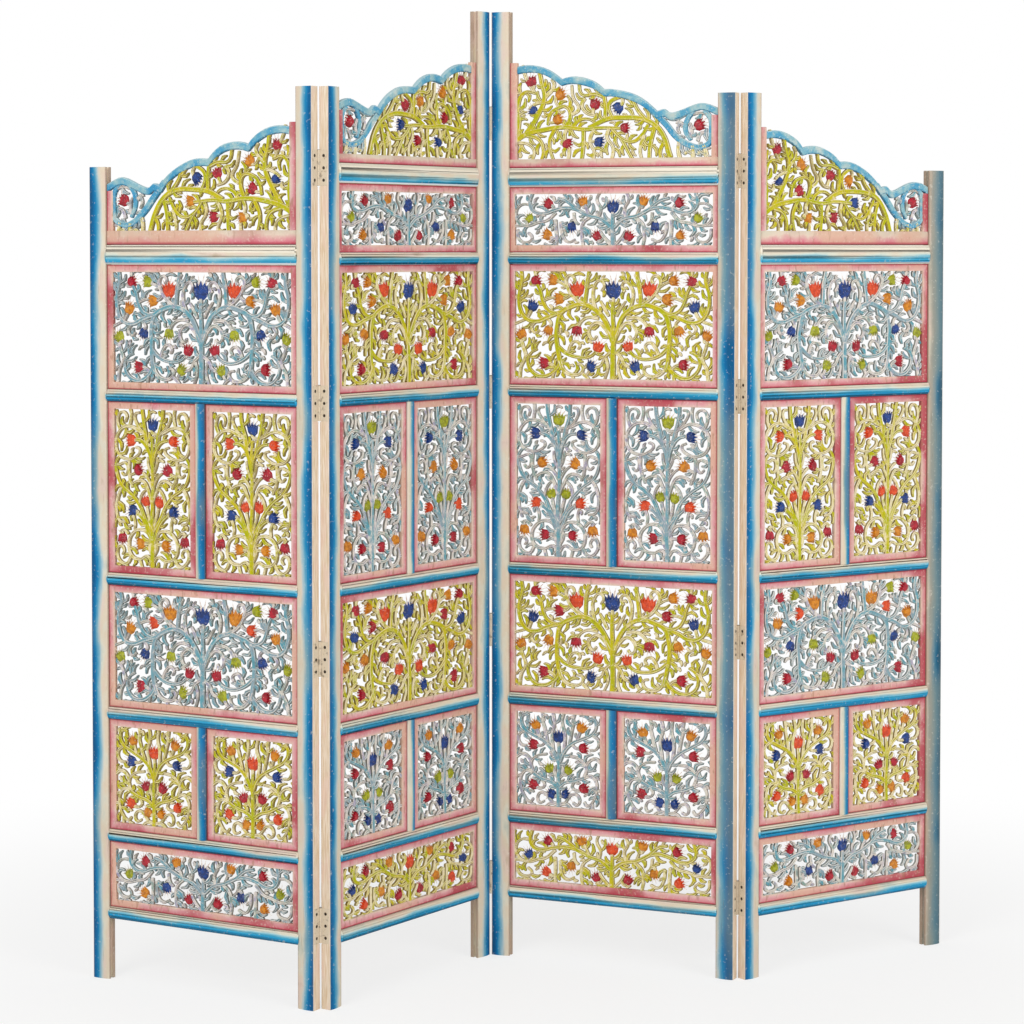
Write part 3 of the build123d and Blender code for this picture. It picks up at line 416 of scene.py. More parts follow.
# Heights along a crown's top edge: shares of the opening and of the rise from its dip.
VOLUTE_EDGE = ((0, 0.06), (0.083, 0.155), (0.21, 0), (0.255, 0.07), (0.29, 0.03))
LOBES = (
    ((0.29, 0.03), (0.41, 0.38), (0.54, 0.457)),
    ((0.54, 0.457), (0.625, 0.68), (0.75, 0.675)),
    ((0.75, 0.675), (0.83, 0.89), (0.965, 0.93)),
)
OUTER_CROWN = {"dip": 107.0, "tall": 221.0, "foot": 27.0}
INNER_CROWN = {"dip": 102.0, "tall": 202.0, "foot": 17.0}

# The paint of each bud, in the order above: red, blue, vermilion, yellow ochre or green. The right
# half of a pane repeats its left half, and each panel's crown has its own row of colours.
BUD_COLOURS = {
    "wide_upper": {"outer": "BVRGYYGBGRRG", "inner": "BVRYYBYYRVRB"},
    "wide_lower": {"outer": "BYRGVYGBGRRG", "inner": "BVRYRBYYRVRB"},
    "tall_pair": {"outer": "BVRVBRY", "inner": "GBYGVYR"},
    "small_pair": {"outer": "VYBRVY", "inner": "BYRGRB"},
    "bottom": {"outer": "BYRGBYR", "inner": "VYRBYVR"},
    "top": {"inner": "BYRGBYR"},
}
CROWN_COLOURS = {1: "RBYRRRYYBR", 2: "RRBYRRYBBR", 3: "RBRRBYYRBR", 4: "RYBRRRYYBR"}
# The paint of each row's scrolls, and their trunk, strokes and buds.
SCROLL_COLOURS = {
    "outer": {
        "bottom": "blue",
        "small_pair": "green",
        "wide_lower": "blue",
        "tall_pair": "green",
        "wide_upper": "blue",
    },
    "inner": {
        "bottom": "green",
        "small_pair": "blue",
        "wide_lower": "green",
        "tall_pair": "blue",
        "wide_upper": "green",
        "top": "blue",
    },
}
DESIGNS = {
    "wide_upper": (WIDE_TRUNK, WIDE_STROKES, WIDE_BUDS),
    "wide_lower": (WIDE_TRUNK, WIDE_STROKES, WIDE_BUDS),
    "tall_pair": (TALL_TRUNK, TALL_STROKES, TALL_BUDS),
    "small_pair": (SMALL_TRUNK, SMALL_STROKES, SMALL_BUDS),
    "bottom": (SHORT_TRUNK, SHORT_STROKES, SHORT_BUDS),
    "top": (SHORT_TRUNK, SHORT_STROKES, SHORT_BUDS),
}

# ------------------------------------------------------------------ workbench
SHARP_EDGE = math.radians(40)  # edges sharper than this are rounded
SMOOTH_EDGE = math.radians(38)  # and edges flatter than this are shaded smooth
FLAT_EDGE = math.radians(0.5)  # and the points of an outline that turns less than this are dropped
ROUNDING_SEGMENTS = 2
ALONG = 0.9  # a face looks along an axis when this share of its normal does
GRAIN_STEP = 2.7  # how much further along the grain the marks of each next bar start, in metres


def select_only(*pieces):
    """Select these pieces alone, the first of them active."""
    bpy.ops.object.select_all(action="DESELECT")
    for piece in pieces:
        piece.select_set(True)
    bpy.context.view_layer.objects.active = pieces[0]


def made_by(operator, **settings):
    """Add an object by this operator, with nothing else selected, and give it back."""
    bpy.ops.object.select_all(action="DESELECT")
    operator(**settings)
    return bpy.context.object


def link(name, data):
    piece = bpy.data.objects.new(name, data)
    bpy.context.scene.collection.objects.link(piece)
    return piece


def edit_whole(piece):
    """Open a piece in edit mode, its whole mesh selected, and merge its doubles."""
    select_only(piece)
    bpy.ops.object.mode_set(mode="EDIT")
    bpy.ops.mesh.select_all(action="SELECT")
    bpy.ops.mesh.remove_doubles(threshold=DOUBLE_DISTANCE * MM)


def face_outwards(piece):
    """Merge the doubles of a closed mesh and turn its faces outwards."""
    edit_whole(piece)
    bpy.ops.mesh.normals_make_consistent(inside=False)
    bpy.ops.object.mode_set(mode="OBJECT")


def finish_with(piece, kind, **settings):
    """Add a modifier with its settings and apply it."""
    modifier = piece.modifiers.new(kind.lower(), kind)
    for name, value in settings.items():
        setattr(modifier, name, value)
    select_only(piece)
    bpy.ops.object.modifier_apply(modifier=modifier.name)


def round_edges(piece, width):
    """Round the sharp edges over this width, in millimetres."""
    finish_with(
        piece,
        "BEVEL",
        width=width * MM,
        segments=ROUNDING_SEGMENTS,
        limit_method="ANGLE",
        angle_limit=SHARP_EDGE,
    )


def smooth(piece):
    select_only(piece)
    bpy.ops.object.shade_smooth_by_angle(angle=SMOOTH_EDGE)


def join(pieces):
    """Make one piece of several, kept under the first one's name."""
    if len(pieces) > 1:
        select_only(*pieces)
        bpy.ops.object.join()
    return pieces[0]


def copy_of(piece, name):
    return link(name, piece.data.copy())


def remove(*pieces):
    for piece in pieces:
        bpy.data.objects.remove(piece)


def shift(piece, x=0.0, y=0.0, z=0.0):
    """Move a mesh by this much, in millimetres."""
    piece.data.transform(Matrix.Translation((x * MM, y * MM, z * MM)))


def other_hand(piece, width):
    """Turn a piece that lies between X = 0 and this width into its opposite hand."""
    piece.data.transform(Matrix.Scale(-1, 4, (1, 0, 0)))
    shift(piece, x=width)
    face_outwards(piece)


def prism(name, outline, low, high):
    """A solid of a flat outline, in millimetres, from one height to another."""
    curve = bpy.data.curves.new(name, "CURVE")
    curve.dimensions = "2D"
    curve.fill_mode = "BOTH"
    curve.extrude = (high - low) / 2 * MM
    spline = curve.splines.new("POLY")
    spline.points.add(len(outline) - 1)
    for point, (x, y) in zip(spline.points, outline):
        point.co = (x * MM, y * MM, 0, 1)
    spline.use_cyclic_u = True
    select_only(link(name, curve))
    bpy.ops.object.convert(target="MESH")
    piece = bpy.context.object
    edit_whole(piece)
    bpy.ops.mesh.dissolve_limited(angle_limit=FLAT_EDGE)
    bpy.ops.object.mode_set(mode="OBJECT")
    face_outwards(piece)
    shift(piece, z=(low + high) / 2)
    return piece


def rectangle(x_span, y_span):
    """The corners of a rectangle, each span from its lower value to its upper one."""
    (left, right), (low, high) = x_span, y_span
    return [(left, low), (right, low), (right, high), (left, high)]


def keep_place(bar, number):
    """Keep where each point lies on its own bar, each bar starting further along the grain."""
    start = Vector((0, 0, number * GRAIN_STEP))
    places = bar.data.attributes.new("place", "FLOAT_VECTOR", "POINT")
    for item, vertex in zip(places.data, bar.data.vertices):
        item.vector = vertex.co + start


def keep_facing(pane):
    """Keep which way each face of a flat pane looks, as the pane lies: Z is its front."""
    facing = pane.data.attributes.new("facing", "FLOAT_VECTOR", "FACE")
    for item, face in zip(facing.data, pane.data.polygons):
        item.vector = face.normal


def keep_inwards(board, distance):
    """Keep how far in from the frame each point of a border is, as distance gives it."""
    inwards = board.data.attributes.new("inwards", "FLOAT", "POINT")
    for item, vertex in zip(inwards.data, board.data.vertices):
        item.value = distance(vertex.co.x / MM, vertex.co.y / MM)


# ------------------------------------------------------------------ lines
def arc_through(start, middle, end, steps):
    """Points along the arc through three points, without its last one."""
    ax, ay, bx, by, cx, cy = *start, *middle, *end
    d = 2 * (ax * (by - cy) + bx * (cy - ay) + cx * (ay - by))
    a, b, c = ax**2 + ay**2, bx**2 + by**2, cx**2 + cy**2
    x = (a * (by - cy) + b * (cy - ay) + c * (ay - by)) / d
    y = (a * (cx - bx) + b * (ax - cx) + c * (bx - ax)) / d
    first = math.atan2(ay - y, ax - x)
    turn = (math.atan2(cy - y, cx - x) - first + math.pi) % (2 * math.pi) - math.pi
    radius = math.hypot(ax - x, ay - y)
    angles = [first + turn * step / steps for step in range(steps)]
    return [(x + radius * math.cos(angle), y + radius * math.sin(angle)) for angle in angles]


def smooth_through(points, steps):
    """Points along a smooth line through the points, without its last one."""
    ends = [points[0], *points, points[-1]]
    line = []
    for group in zip(ends, ends[1:], ends[2:], ends[3:]):
        before, here, after, beyond = [Vector(point) for point in group]
        way = (after - before) / 2
        way_out = (beyond - here) / 2
        for step in range(steps):
            t = step / steps
            point = (
                here * (2 * t**3 - 3 * t**2 + 1)
                + way * (t**3 - 2 * t**2 + t)
                + after * (3 * t**2 - 2 * t**3)
                + way_out * (t**3 - t**2)
            )
            line.append(tuple(point))
    return line


# ------------------------------------------------------------------ the frame's bars
ARC_STEPS = 12
TURNING_SIDES = 32


def swelled_front(width, left_swell):
    """The rounded front of a bar, from its left edge to its right edge."""
    crest = width / (1 + math.sqrt(FRONT_SWELL / left_swell))
    end = (width, FRONT_SWELL)
    return arc_through((0, left_swell), (crest, 0), end, ARC_STEPS) + [end]


def groove(x, inwards):
    """The corners of a pane's groove in the side of a bar at x, from front to back."""
    floor = x + inwards * GROOVE_DEPTH
    back = GROOVE_SETBACK + GROOVE_WIDTH
    return [(x, GROOVE_SETBACK), (floor, GROOVE_SETBACK), (floor, back), (x, back)]


def moulded_bar(name, width, depth, z_span, left_groove=False, left_swell=FRONT_SWELL):
    """An upright bar, its rounded front towards -Y."""
    outline = swelled_front(width, left_swell)
    outline += groove(width, -1) + [(width, depth), (0, depth)]
    if left_groove:
        outline += reversed(groove(0, 1))
    return prism(name, outline, *z_span)


def hinge_cutters(pin_depth, height):
    """What a hinge takes out of a post: a bed for the leaf, and room for the knuckles to turn."""
    half = HINGE_HEIGHT / 2 + LEAF_GAP
    into_post = -1 if pin_depth > 0 else 1
    far = pin_depth + into_post * (LEAF_REACH + LEAF_GAP)
    past_pin = pin_depth - into_post * CUT_PAST
    outline = rectangle((-CUT_PAST, LEAF_THICKNESS), sorted((far, past_pin)))
    bed = prism("bed", outline, height - half, height + half)
    turning = made_by(
        bpy.ops.mesh.primitive_cylinder_add,
        vertices=TURNING_SIDES,
        radius=SWEPT_RADIUS * MM,
        depth=(HINGE_HEIGHT + 2 * PIN_HEAD_ROOM) * MM,
        location=(-HINGE_OFFSET * MM, pin_depth * MM, height * MM),
    )
    bpy.ops.object.transform_apply(location=True)
    return [bed, turning]


def make_post(name, height, hinge_heights, pin_depth):
    """A post with its outer edge at X = 0 and its groove at X = POST_WIDTH."""
    post = moulded_bar(name, POST_WIDTH, POST_DEPTH, (0, height), left_swell=POST_OUTER_SWELL)
    for hinge_height in hinge_heights:
        for cutter in hinge_cutters(pin_depth, hinge_height):
            finish_with(post, "BOOLEAN", operation="DIFFERENCE", solver="EXACT", object=cutter)
            remove(cutter)
    round_edges(post, EDGE_ROUNDING)
    post.data.materials.append(materials["post"])
    smooth(post)
    return post


def make_rail(name, height, has_lower_groove, paint):
    """A rail standing on end, its lower edge at X = 0, with ends that slope off over the posts."""
    body_end = RAIL_STRAIGHT + RAIL_END - RAIL_LAP
    rail = moulded_bar(name, height, RAIL_DEPTH, (body_end, OPENING_WIDTH - body_end), has_lower_groove)
    bpy.context.tool_settings.mesh_select_mode = (False, False, True)
    for way in (-1, 1):
        for face in rail.data.polygons:
            face.select = face.normal.z * way > ALONG
        select_only(rail)
        bpy.ops.object.mode_set(mode="EDIT")
        for length in (RAIL_STRAIGHT, RAIL_END):
            bpy.ops.mesh.extrude_region_move(TRANSFORM_OT_translate={"value": (0, 0, way * length * MM)})
        middle = (height / 2 * MM, RAIL_DEPTH * RAIL_END_MIDDLE * MM, 0)
        bpy.ops.transform.resize(value=(*RAIL_END_SIZE, 1), center_override=middle)
        bpy.ops.object.mode_set(mode="OBJECT")
    round_edges(rail, EDGE_ROUNDING)
    rail.data.materials.append(materials[paint])
    smooth(rail)
    return rail


def make_muntin(name, length):
    """The upright bar between the two panes of a pair, grooved on both sides."""
    muntin = moulded_bar(name, MUNTIN_WIDTH, RAIL_DEPTH, (0, length), True)
    round_edges(muntin, EDGE_ROUNDING)
    muntin.data.materials.append(materials["muntin"])
    smooth(muntin)
    return muntin


def make_bars():
    """One bar of each kind, to be copied."""
    return {
        "outer_post": make_post("outer_post", OUTER_POST_HEIGHT, (), 0),
        "middle_post": make_post("middle_post", MIDDLE_POST_HEIGHT, MIDDLE_HINGES, BACK_PIN_DEPTH),
        "centre_post": make_post("centre_post", CENTRE_POST_HEIGHT, CENTRE_HINGES, FRONT_PIN_DEPTH),
        "bottom_rail": make_rail("bottom_rail", RAIL_HEIGHT, False, "rail"),
        "rail": make_rail("rail", RAIL_HEIGHT, True, "rail"),
        "crown_rail": make_rail("crown_rail", CROWN_RAIL_HEIGHT, True, "crown_rail"),
        "small_pair": make_muntin("small_muntin", dict(OUTER_ROWS)["small_pair"]),
        "tall_pair": make_muntin("tall_muntin", dict(OUTER_ROWS)["tall_pair"]),
    }


# ------------------------------------------------------------------ buds
# The outline of a bud's right half, in millimetres, from its foot up to its middle tooth.
BUD_OUTLINE = (
    (4.6, -9.6),
    (8.8, -5.2),
    (9.8, 1.0),
    (11.2, 8.6),
    (7.2, 5.0),
    (6.2, 11.0),
    (3.0, 6.2),
)
BUD_FOOT = (0.0, -10.8)
BUD_TIP = (0.0, 12.0)
BUD_HALF_DEPTH = 4.9
BUD_CREST = (0.64, 0.58)  # how large the flat of its front is against its outline
BUD_CREST_CENTRE = -1.5  # the height that the front narrows towards
BUD_FULLNESS = 1.10  # how much wider and longer the buds are set than drawn
PETAL_TURNS = (-62, -37, -13, 13, 37, 62)  # in degrees, to the right of up
PETAL_WIDTH = 4.4
PETAL_ROOT = 4.0  # how far from the middle of the bud a petal starts
PETAL_LENGTH = 17.0
STALK_LENGTH = 13.0
STALK_WIDTHS = (6.0, 6.0, 5.5)


def make_petal(turn):
    """A thin white petal that lies along its own turn from the middle of the bud."""
    radius = PETAL_WIDTH / 2 * MM
    petal = made_by(bpy.ops.mesh.primitive_cone_add, vertices=3, radius1=radius, depth=PETAL_LENGTH * MM)
    petal.data.transform(Matrix.Rotation(math.radians(-90), 4, "X"))
    shift(petal, y=PETAL_ROOT + PETAL_LENGTH / 2)
    petal.data.transform(Matrix.Rotation(math.radians(-turn), 4, "Z"))
    petal.data.materials.append(materials["petal"])
    return petal


def make_bud():
    """A tulip bud that opens towards +Y, raised on both sides, with a fan of thin petals."""
    left = [(-x, y) for x, y in reversed(BUD_OUTLINE)]
    outline = [BUD_FOOT, *BUD_OUTLINE, BUD_TIP, *left]
    bud = made_by(bpy.ops.mesh.primitive_circle_add, vertices=len(outline))
    for vertex, (x, y) in zip(bud.data.vertices, outline):
        vertex.co = (x * MM, y * MM, 0)
    bpy.context.tool_settings.mesh_select_mode = (True, False, False)
    for way in (1, -1):
        for vertex in bud.data.vertices:
            vertex.select = vertex.co.z == 0
        bpy.ops.object.mode_set(mode="EDIT")
        rise = (0, 0, way * BUD_HALF_DEPTH * MM)
        bpy.ops.mesh.extrude_region_move(TRANSFORM_OT_translate={"value": rise})
        bpy.ops.transform.resize(value=(*BUD_CREST, 1), center_override=(0, BUD_CREST_CENTRE * MM, 0))
        bpy.ops.mesh.edge_face_add()
        bpy.ops.mesh.select_all(action="DESELECT")
        bpy.ops.object.mode_set(mode="OBJECT")
    face_outwards(bud)
    bud.data.materials.append(materials["R"])
    return join([bud] + [make_petal(turn) for turn in PETAL_TURNS])


# ------------------------------------------------------------------ colours and materials
def linear(hex_colour):
    """An sRGB hex colour as the linear colour that a socket takes."""
    channels = [int(hex_colour[start:start + 2], 16) / 255 for start in (1, 3, 5)]
    return [c / 12.92 if c <= 0.04045 else ((c + 0.055) / 1.055) ** 2.4 for c in channels] + [1.0]


def per_metre(size):
    """The texture scale that gives marks of this size in millimetres."""
    return 1 / (size * MM)


def connect(tree, node, inputs):
    """Set each input of a node, a colour by its hex value, or link an output to it."""
    pairs = inputs.items() if isinstance(inputs, dict) else enumerate(inputs)
    for socket, value in pairs:
        if isinstance(value, bpy.types.NodeSocket):
            tree.links.new(value, node.inputs[socket])
        else:
            node.inputs[socket].default_value = linear(value) if isinstance(value, str) else value


def add(tree, kind, inputs=(), output=0, stops=(), **settings):
    """Add a node with its settings, inputs and ramp stops, and give back one of its outputs."""
    node = tree.nodes.new(kind)
    for name, value in settings.items():
        setattr(node, name, value)
    connect(tree, node, inputs)
    for number, (position, colour) in enumerate(stops):
        if number < 2:
            stop = node.color_ramp.elements[number]
            stop.position = position
        else:
            stop = node.color_ramp.elements.new(position)
        stop.color = linear(colour)
    return node.outputs[output]


def lay_coats(tree, ground, coats):
    """Lay coats of paint on a ground: each thickens as its mask runs from one value to another."""
    for mask, start, end, most, paint in coats:
        run = [mask, start, end, 0.0, most]
        share = add(tree, "ShaderNodeMapRange", run, interpolation_type="SMOOTHSTEP")
        ground = add(tree, "ShaderNodeMix", {0: share, 6: ground, 7: paint}, output=2, data_type="RGBA")
    return ground


def new_material(name):
    """A new material, its tree and its shader."""
    material = bpy.data.materials.new(name)
    material.use_nodes = True
    tree = material.node_tree
    return material, tree, tree.nodes["Principled BSDF"]


def finish_shader(tree, shader, colour, roughness, marks, depth, strength, shine=0.5, metallic=0.0):
    """Give a shader its colour and gloss, and a relief of these marks, its depth in millimetres."""
    relief = add(tree, "ShaderNodeBump", {"Height": marks, "Distance": depth * MM, "Strength": strength})
    connect(tree, shader, {
        "Base Color": colour,
        "Metallic": metallic,
        "Roughness": roughness,
        "Specular IOR Level": shine,
        "Normal": relief,
    })


# How far marks of each size make the blue's fading stray, in shares of the bar's width.
BRUSH_STRAY = 0.16
PATCH_STRAY = 0.34
BROAD_STRAY = 0.80
HINGE_SIDE = (0.8 * MM, 0.4 * MM)  # a post is bare wood this near to its hinged side
CREAM_TONES = (
    (0.28, "#B9C6BA"),
    (0.42, "#E3DDC9"),
    (0.53, "#E4D2B8"),
    (0.64, "#E6CDBF"),
    (0.76, "#B8A184"),
)
CREAM_SPAN = (0.50, 0.74)  # where the cream coat thickens across a bar
NARROW_CREAM_SPAN = (0.80, 1.1)
LEFT_CREAM_SPAN = (0.34, 0.14)  # it thickens the other way, towards a muntin's left edge


def frame_paint(name, width, stops, lines, reach=0.0, cream=CREAM_SPAN, grime=0.3):
    """Blue milk paint and cream limewash over mango wood, brushed along the bar and rubbed back.

    It is chalky and hardly shines. The blue fades into the cream across the bar, the fading strays
    with the brush, the cream yellows, greens and pinkens in patches, wood and old coats show
    through in scratches, and a face that looks at a hinge is bare wood.
    """
    material, tree, shader = new_material(name)
    place = add(tree, "ShaderNodeAttribute", output="Vector", attribute_name="place")
    across = add(tree, "ShaderNodeSeparateXYZ", [place])
    share = add(tree, "ShaderNodeMath", [across, 1 / (width * MM)], operation="MULTIPLY")
    long_marks = add(tree, "ShaderNodeVectorMath", [place, (1, 1, 0.05)], operation="MULTIPLY")
    short_marks = add(tree, "ShaderNodeVectorMath", [place, (1, 1, 0.4)], operation="MULTIPLY")
    brush = add(tree, "ShaderNodeTexNoise", {"Vector": long_marks, "Scale": per_metre(3.4), "Detail": 5.0})
    patches = add(tree, "ShaderNodeTexNoise", {"Vector": short_marks, "Scale": per_metre(30), "Detail": 4.0})
    broad = add(tree, "ShaderNodeTexNoise", {"Vector": place, "Scale": per_metre(240), "Detail": 2.0})
    specks = add(tree, "ShaderNodeTexNoise", {"Vector": place, "Scale": per_metre(6), "Detail": 6.0})
    scratches = add(tree, "ShaderNodeTexNoise", {"Vector": long_marks, "Scale": per_metre(2), "Detail": 3.0})
    strayed = add(tree, "ShaderNodeMath", [brush, BRUSH_STRAY, share], operation="MULTIPLY_ADD")
    strayed = add(tree, "ShaderNodeMath", [patches, PATCH_STRAY, strayed], operation="MULTIPLY_ADD")
    strayed = add(tree, "ShaderNodeMath", [broad, BROAD_STRAY, strayed], operation="MULTIPLY_ADD")
    level = (BRUSH_STRAY + PATCH_STRAY + BROAD_STRAY) / 2 + reach
    strayed = add(tree, "ShaderNodeMath", [strayed, level], operation="SUBTRACT")
    fading = add(tree, "ShaderNodeValToRGB", [strayed], stops=stops)
    tone = add(tree, "ShaderNodeValToRGB", [patches], stops=CREAM_TONES)
    wood = lay_coats(tree, "#DCC4A4", (
        (scratches, 0.35, 0.65, 1.0, "#F2E4D2"),
        (patches, 0.50, 0.65, 0.6, "#EBCFBF"),
    ))
    coats = [
        (broad, 0.66 - grime, 0.84 - grime, 0.25 + grime, "#7D8F8C"),
        (strayed, *cream, 0.75, tone),
        # lines along the bar; the dark lines under a rail and by a post's groove are painted shade
        *[(share, *line) for line in lines],
        (specks, 0.58, 0.72, 0.35, "#E6E2D4"),
        (scratches, 0.62, 0.74, 0.30, "#83704F"),
    ]
    if width == POST_WIDTH:
        coats.append((across, *HINGE_SIDE, 1.0, wood))
    colour = lay_coats(tree, fading, coats)
    finish_shader(tree, shader, colour, 0.75, brush, depth=0.3, strength=0.3, shine=0.2)
    return material


LIT_SIDE = (-0.55, 0.83, 0)  # painted highlight on the upper left of every stroke, painted shade on its lower right


def carving_paint(name, paint, second_paint, rubbed, rubbed_share, outline, wall):
    """Distemper on fretted mango wood: matt, uneven and rubbed to cream along the cut edges.

    Painted highlight takes the upper left edges and painted shade the lower right ones, as if lit
    from the upper left; the groove of each stroke is darkened as dirt and painted shade, and the cut
    sides, which are only thinly painted, are dirty in patches.
    """
    material, tree, shader = new_material(name)
    place = add(tree, "ShaderNodeTexCoord", output="Object")
    facing = add(tree, "ShaderNodeAttribute", output="Vector", attribute_name="facing")
    vein = add(tree, "ShaderNodeAttribute", output="Fac", attribute_name="vein")
    clouds = add(tree, "ShaderNodeTexNoise", {"Vector": place, "Scale": per_metre(22), "Detail": 3.0})
    blots = add(tree, "ShaderNodeTexNoise", {"Vector": place, "Scale": per_metre(9), "Detail": 3.0})
    fine = add(tree, "ShaderNodeTexNoise", {"Vector": place, "Scale": per_metre(3), "Detail": 4.0})
    to_front = add(tree, "ShaderNodeSeparateXYZ", [facing], output="Z")
    to_face = add(tree, "ShaderNodeMath", [to_front], operation="ABSOLUTE")
    from_edge = add(tree, "ShaderNodeMath", [fine, 0.5, vein], operation="MULTIPLY_ADD")
    # how far each face looks towards the upper left, from where the painted highlight and shade fall
    sides = [facing, LIT_SIDE]
    toward_light = add(tree, "ShaderNodeVectorMath", sides, output="Value", operation="DOT_PRODUCT")
    toward_light = add(tree, "ShaderNodeMath", [fine, 0.6, toward_light], operation="MULTIPLY_ADD")
    side = lay_coats(tree, wall, ((fine, 0.50, 0.68, 0.45, outline),))
    colour = lay_coats(tree, paint, (
        (clouds, 0.38, 0.62, 1.0, second_paint),
        (blots, 0.66 - rubbed_share, 0.86 - rubbed_share, 0.8, rubbed),
        (blots, 0.40, 0.30, 0.2, outline),
        (from_edge, 0.62, 0.36, 0.35, rubbed),
        # dirt and painted shade down the groove of each stroke
        (from_edge, 1.16, 1.34, 0.25, outline),
        # painted highlight on faces that look up and left, painted shade on faces that look down and right
        (toward_light, 0.44, 0.70, 0.7, rubbed),
        (toward_light, 0.04, -0.24, 0.7, outline),
        (to_face, 0.4, 0.1, 1.0, side),
    ))
    finish_shader(tree, shader, colour, 0.7, fine, depth=0.2, strength=0.4, shine=0.2)
    return material


# Where across the screen, in metres, its left part fades and its right part darkens with painted shade.
FADED_PART = (-0.75, -0.35)
DARK_PART = (0.45, 0.80)


def border_paint(name, stops, deep_red, cracks):
    """Rose-pink distemper on the plain borders, crimson by the frame and thin by the carving."""
    material, tree, shader = new_material(name)
    place = add(tree, "ShaderNodeTexCoord", output="Object")
    inwards = add(tree, "ShaderNodeAttribute", output="Fac", attribute_name="inwards")
    sideways = add(tree, "ShaderNodeSeparateXYZ", [place])
    short_marks = add(tree, "ShaderNodeVectorMath", [place, (1, 1, 0.35)], operation="MULTIPLY")
    patches = add(tree, "ShaderNodeTexNoise", {"Vector": place, "Scale": per_metre(24), "Detail": 4.0})
    broad = add(tree, "ShaderNodeTexNoise", {"Vector": place, "Scale": per_metre(150), "Detail": 3.0})
    fine = add(tree, "ShaderNodeTexNoise", {"Vector": place, "Scale": per_metre(5), "Detail": 5.0})
    streaks = add(tree, "ShaderNodeTexNoise", {"Vector": short_marks, "Scale": per_metre(7), "Detail": 4.0})
    strayed = add(tree, "ShaderNodeMath", [patches, 0.7, inwards], operation="MULTIPLY_ADD")
    strayed = add(tree, "ShaderNodeMath", [strayed, 0.35], operation="SUBTRACT")
    faded = add(tree, "ShaderNodeMapRange", [sideways, *FADED_PART, 0.08, 0.0])
    faded = add(tree, "ShaderNodeMath", [broad, faded], operation="ADD")
    shaded = add(tree, "ShaderNodeMapRange", [sideways, *DARK_PART, 0.0, 0.12])
    shaded = add(tree, "ShaderNodeMath", [broad, shaded], operation="SUBTRACT")
    colour = add(tree, "ShaderNodeValToRGB", [strayed], stops=stops)
    colour = lay_coats(tree, colour, (
        (faded, 0.50, 0.64, 0.8, "#E2B49C"),
        # crimson in broad patches, more of it towards the right end as painted shade
        (shaded, 0.47, 0.32, deep_red, "#B9434F"),
        (fine, 0.54, 0.70, 0.4, "#EDD9CA"),
        (streaks, 0.56, 0.70, cracks, "#A5765A"),
        (inwards, 0.28, 0.12, 0.7, "#C04558"),
        # a dark line of painted shade where the border meets the frame
        (inwards, 0.11, 0.06, 0.8, "#6E3A34"),
    ))
    finish_shader(tree, shader, colour, 0.7, fine, depth=0.3, strength=0.5, shine=0.2)
    return material


def rim_paint(name):
    """Turquoise distemper on a crown's rim, with a painted highlight on its upper faces and painted shade
    below.
    """
    material, tree, shader = new_material(name)
    place = add(tree, "ShaderNodeTexCoord", output="Object")
    facing = add(tree, "ShaderNodeAttribute", output="Vector", attribute_name="facing")
    clouds = add(tree, "ShaderNodeTexNoise", {"Vector": place, "Scale": per_metre(30), "Detail": 4.0})
    fine = add(tree, "ShaderNodeTexNoise", {"Vector": place, "Scale": per_metre(4), "Detail": 5.0})
    toward_light = add(tree, "ShaderNodeSeparateXYZ", [facing], output="Y")
    toward_light = add(tree, "ShaderNodeMath", [fine, 0.8, toward_light], operation="MULTIPLY_ADD")
    shades = ((0.34, "#3D98C4"), (0.47, "#62AAC6"), (0.58, "#94C0C8"), (0.70, "#C2D2CE"))
    colour = add(tree, "ShaderNodeValToRGB", [clouds], stops=shades)
    colour = lay_coats(tree, colour, (
        # painted highlight where the rim looks up, painted shade where it looks down
        (toward_light, 0.55, 0.85, 0.75, "#BCD8DC"),
        (toward_light, 0.20, -0.10, 0.8, "#2A6F94"),
        (fine, 0.55, 0.70, 0.45, "#DCE2DA"),
    ))
    finish_shader(tree, shader, colour, 0.65, fine, depth=0.3, strength=0.5, shine=0.3)
    return material


def bud_paint(name, paint, deep):
    """Thick opaque paint on the buds, a little glossier, chipped to cream in specks."""
    material, tree, shader = new_material(name)
    place = add(tree, "ShaderNodeTexCoord", output="Object")
    clouds = add(tree, "ShaderNodeTexNoise", {"Vector": place, "Scale": per_metre(7), "Detail": 3.0})
    fine = add(tree, "ShaderNodeTexNoise", {"Vector": place, "Scale": per_metre(2.5), "Detail": 4.0})
    colour = lay_coats(tree, deep, ((clouds, 0.36, 0.60, 1.0, paint), (fine, 0.60, 0.72, 0.45, "#F0E2D0")))
    finish_shader(tree, shader, colour, 0.45, fine, depth=0.2, strength=0.5)
    return material


def petal_paint(name):
    """Whitewash on the thin petals, brown wood showing in streaks along them."""
    material, tree, shader = new_material(name)
    place = add(tree, "ShaderNodeTexCoord", output="Object")
    streaks = add(tree, "ShaderNodeTexNoise", {"Vector": place, "Scale": per_metre(3.5), "Detail": 4.0})
    colour = lay_coats(tree, "#F2E9E0", ((streaks, 0.44, 0.68, 1.0, "#C9A892"),))
    finish_shader(tree, shader, colour, 0.7, streaks, depth=0.2, strength=0.5)
    return material


def hinge_metal(name, coat, wear, metal, wear_start, metallic, roughness):
    """Mild steel under an old coat: the coat is dull, and the wear shows where it is rubbed."""
    material, tree, shader = new_material(name)
    place = add(tree, "ShaderNodeTexCoord", output="Object")
    marks = add(tree, "ShaderNodeTexNoise", {"Vector": place, "Scale": per_metre(4), "Detail": 5.0})
    blots = add(tree, "ShaderNodeTexNoise", {"Vector": place, "Scale": per_metre(11), "Detail": 2.0})
    coats = ((marks, wear_start, wear_start + 0.12, 1.0, wear), (blots, 0.58, 0.70, 0.6, metal))
    colour = lay_coats(tree, coat, coats)
    finish_shader(tree, shader, colour, roughness, marks, depth=0.1, strength=0.5, metallic=metallic)
    return material


